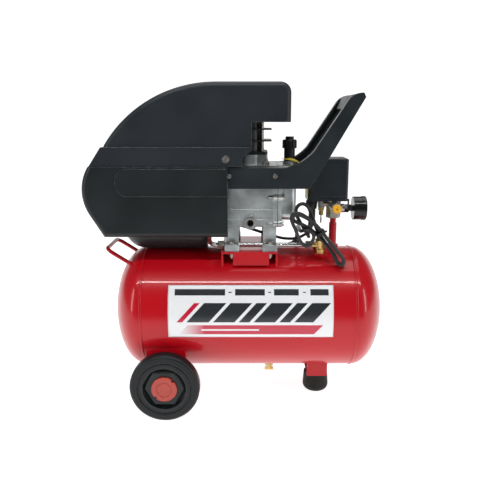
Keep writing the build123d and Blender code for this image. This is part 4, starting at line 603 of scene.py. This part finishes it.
tag_yellow = finish_of("tag_yellow", (0.62, 0.46, 0.02), 0.42, mottle=0.08, patch=0.012, rim=0.0003)
switch_side = 0.13925
film_y, film_z = np.meshgrid(np.linspace(-0.033, 0.020, 12), np.linspace(0.424, 0.462, 10), indexing="ij")
film_points = np.stack([np.full_like(film_y, switch_side), film_y, film_z], -1)
switch_film = grid_mesh("switch_film", film_points[::-1])
backing = switch_film.modifiers.new("backing", "SOLIDIFY")
backing.thickness = 0.0002
backing.offset = -1
switch_film.data.materials.append(tag_yellow)
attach(switch_film, "frame")
tag_way = [(0.0895, -0.0090, 0.5012), (0.0960, -0.0175, 0.5018), (0.1050, -0.0195, 0.5012),
           (0.1130, -0.0175, 0.4990), (0.1200, -0.0130, 0.4950), (0.1255, -0.0100, 0.4890)]
tag_outline, tag_face = rounded(0.0075, 0.0009, 0.0004), (0.3, -0.5, 1.0)
filler_tag = swept("filler_tag", eased(tag_way), tag_outline, tag_face)
filler_tag.data.materials.append(tag_yellow)
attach(filler_tag, "filler_cap")


# ---------------------------------------------------------------------------
# Mains cord: one black rubber lead, 7 mm across. It drops out of its gland,
# is folded into a tied hank beside the pump, and goes back over the tank.
# ---------------------------------------------------------------------------
cord_diameter = 0.007
cord_black = finish_of("cord_black", (0.010, 0.0105, 0.011), 0.38, mottle=0.2, patch=0.02, grain=0.0012,
                       relief=0.00003, rim=0.0004)
mm = 0.001
cord_exit = (146.5, -18.0, 397.0)
way_out = [cord_exit, (146.5, -18, 371), (140.5, -38, 352), (140.5, -65, 352)]
# each point of the hank: to the right of the tank's middle, above the floor, and depth
hank_turns = [
    (113, 362, -66), (106, 374, -67), (98, 387, -69), (91, 400, -70.5), (92, 413, -71.5),
    (102, 421, -72), (113, 417, -71.5), (121, 404, -70.5), (126, 389, -70), (131, 373, -70),
    (140, 356, -70), (153, 339, -70), (165, 323, -70), (172, 312, -70.5), (176, 302, -72),
    (183, 298, -73.5), (189, 304, -75.5), (185, 314, -77), (173, 328, -77), (159, 345, -77),
    (146, 361, -77), (134, 376, -77), (120, 388, -77.5), (106, 396, -78), (96, 400, -79.5),
    (86, 399, -80.5), (85, 390, -80.5), (94, 384, -79.5), (107, 379, -79), (120, 371, -78.5),
    (132, 361, -78), (141, 351, -77.5), (153, 338, -77.5), (164, 323, -78.5), (170, 312, -80.5),
    (175, 302, -83), (182, 299, -84.5), (187, 306, -85), (182, 317, -85), (172, 328, -85),
    (159, 344, -84.5), (146, 361, -84.5), (134, 376, -84.5), (119, 390, -85), (103, 401, -86),
    (91, 405, -87), (81, 399, -88), (83, 386, -88), (90, 373, -87), (95, 358, -85), (103, 343, -82),
    (112, 337, -81), (121, 343, -83), (127, 356, -86), (123, 367, -87.5), (112, 371, -87),
    (103, 368, -80), (101, 366, -72),
]
hank = [(tank_x / mm + x, y, z) for x, z, y in hank_turns]
way_back = [(122.5, -65, 366), (122.5, -22, 366), (123.5, 20, 358), (125.5, 53.4, 336.0),
            (125.5, 78.67, 313.25)]


def lead(name, route, diameter):
    """A round lead along one smooth spline with the route as its control points."""
    curve = bpy.data.curves.new(name, "CURVE")
    curve.dimensions = "3D"
    spline = curve.splines.new("NURBS")
    spline.points.add(len(route) - 1)
    weighted = np.hstack([np.array(route) * mm, np.ones((len(route), 1))])
    spline.points.foreach_set("co", weighted.ravel())
    spline.order_u = 3
    spline.use_endpoint_u = True
    spline.resolution_u = 8
    curve.bevel_depth = diameter / 2
    curve.bevel_resolution = 5
    curve.use_fill_caps = True
    piece = bpy.data.objects.new(name, curve)
    bpy.context.scene.collection.objects.link(piece)
    return piece


mains_cord = lead("mains_cord", way_out + hank + way_back, cord_diameter)
mains_cord.data.materials.append(cord_black)
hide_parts("power_cord", "power_cord_hank")
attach(mains_cord, "frame")
dress(cord_black, "power_plug", "motor_lead")


# ---------------------------------------------------------------------------
# Studs of the cylinder: four hexagon nuts on studs stand round the foot of
# the barrel and clamp it to the crankcase.
# ---------------------------------------------------------------------------
stud_spread, stud_seat = 0.033, 0.4905
nut_radius, nut_face_radius, nut_height, stud_radius = 0.0075, 0.0058, 0.0072, 0.0031
stud_height, nut_chamfer, stud_chamfer = 0.0132, 0.0006, 0.0005
stud_profile = np.array([
    [0, 0], [nut_face_radius, 0], [nut_radius, nut_chamfer], [nut_radius, nut_height - 0.0010],
    [nut_face_radius, nut_height], [stud_radius, nut_height], [stud_radius, 0.0125],
    [stud_radius - stud_chamfer, stud_height], [0, stud_height]])
stud_out, stud_up = stud_profile[:, :1], stud_profile[:, 1:]
stud_lap = np.arange(6) * math.pi / 3
for number, (side_x, side_y) in enumerate(((-1, -1), (1, -1), (1, 1), (-1, 1))):
    stud = sealed(grid_mesh(f"cylinder_stud_{number}", np.stack([
        tank_x + side_x * stud_spread + stud_out * np.cos(stud_lap),
        side_y * stud_spread + stud_out * np.sin(stud_lap),
        stud_seat + stud_up + 0 * stud_lap], -1), closed_v=True), smooth=False)
    stud.data.materials.append(zinc_alloy)
    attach(stud, "frame")


# ---------------------------------------------------------------------------
# Cable tie round the hank: a nylon strap with its square head and cut tail,
# pulled round the folded turns where they cross.
# ---------------------------------------------------------------------------
tie_centre = np.array([tank_x + 0.139, -0.0775, 0.3640])
tie_along, tie_across = np.array([0.612, 0.0, -0.791]), np.array([0.791, 0.0, 0.612])
tie_half_width, tie_half_depth, squared = 0.0093, 0.0125, 2 / 3.2
tie_lap = np.linspace(0, 2 * math.pi, 49)[:-1]
tie_cos, tie_sin = np.cos(tie_lap), np.sin(tie_lap)
tie_u = tie_half_width * np.sign(tie_cos) * np.abs(tie_cos) ** squared
tie_v = tie_half_depth * np.sign(tie_sin) * np.abs(tie_sin) ** squared
tie_path = tie_centre + tie_u[:, None] * tie_across + tie_v[:, None] * np.array([0, 1, 0])
head_path = tie_centre + np.array([[0, -0.0128, 0], [0, -0.0180, 0]])
tail_path = eased(tie_centre + np.array([[0, -0.0170, 0], [0.004, -0.0210, 0.004], [0.010, -0.0230, 0.008]]))
tie_black = finish_of("tie_black", (0.006, 0.006, 0.006), 0.35, mottle=0.1, patch=0.01, gloss=0.4)
cable_tie = swept("cable_tie", tie_path, rounded(0.0012, 0.0045, 0.0004), tie_along, closed=True)
tie_head = swept("tie_head", head_path, rounded(0.0068, 0.0062, 0.0010), tie_along)
tie_tail = swept("tie_tail", tail_path, rounded(0.0011, 0.0040, 0.0004), tie_along)
for piece in (cable_tie, tie_head, tie_tail):
    piece.data.materials.append(tie_black)
    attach(piece, "frame")
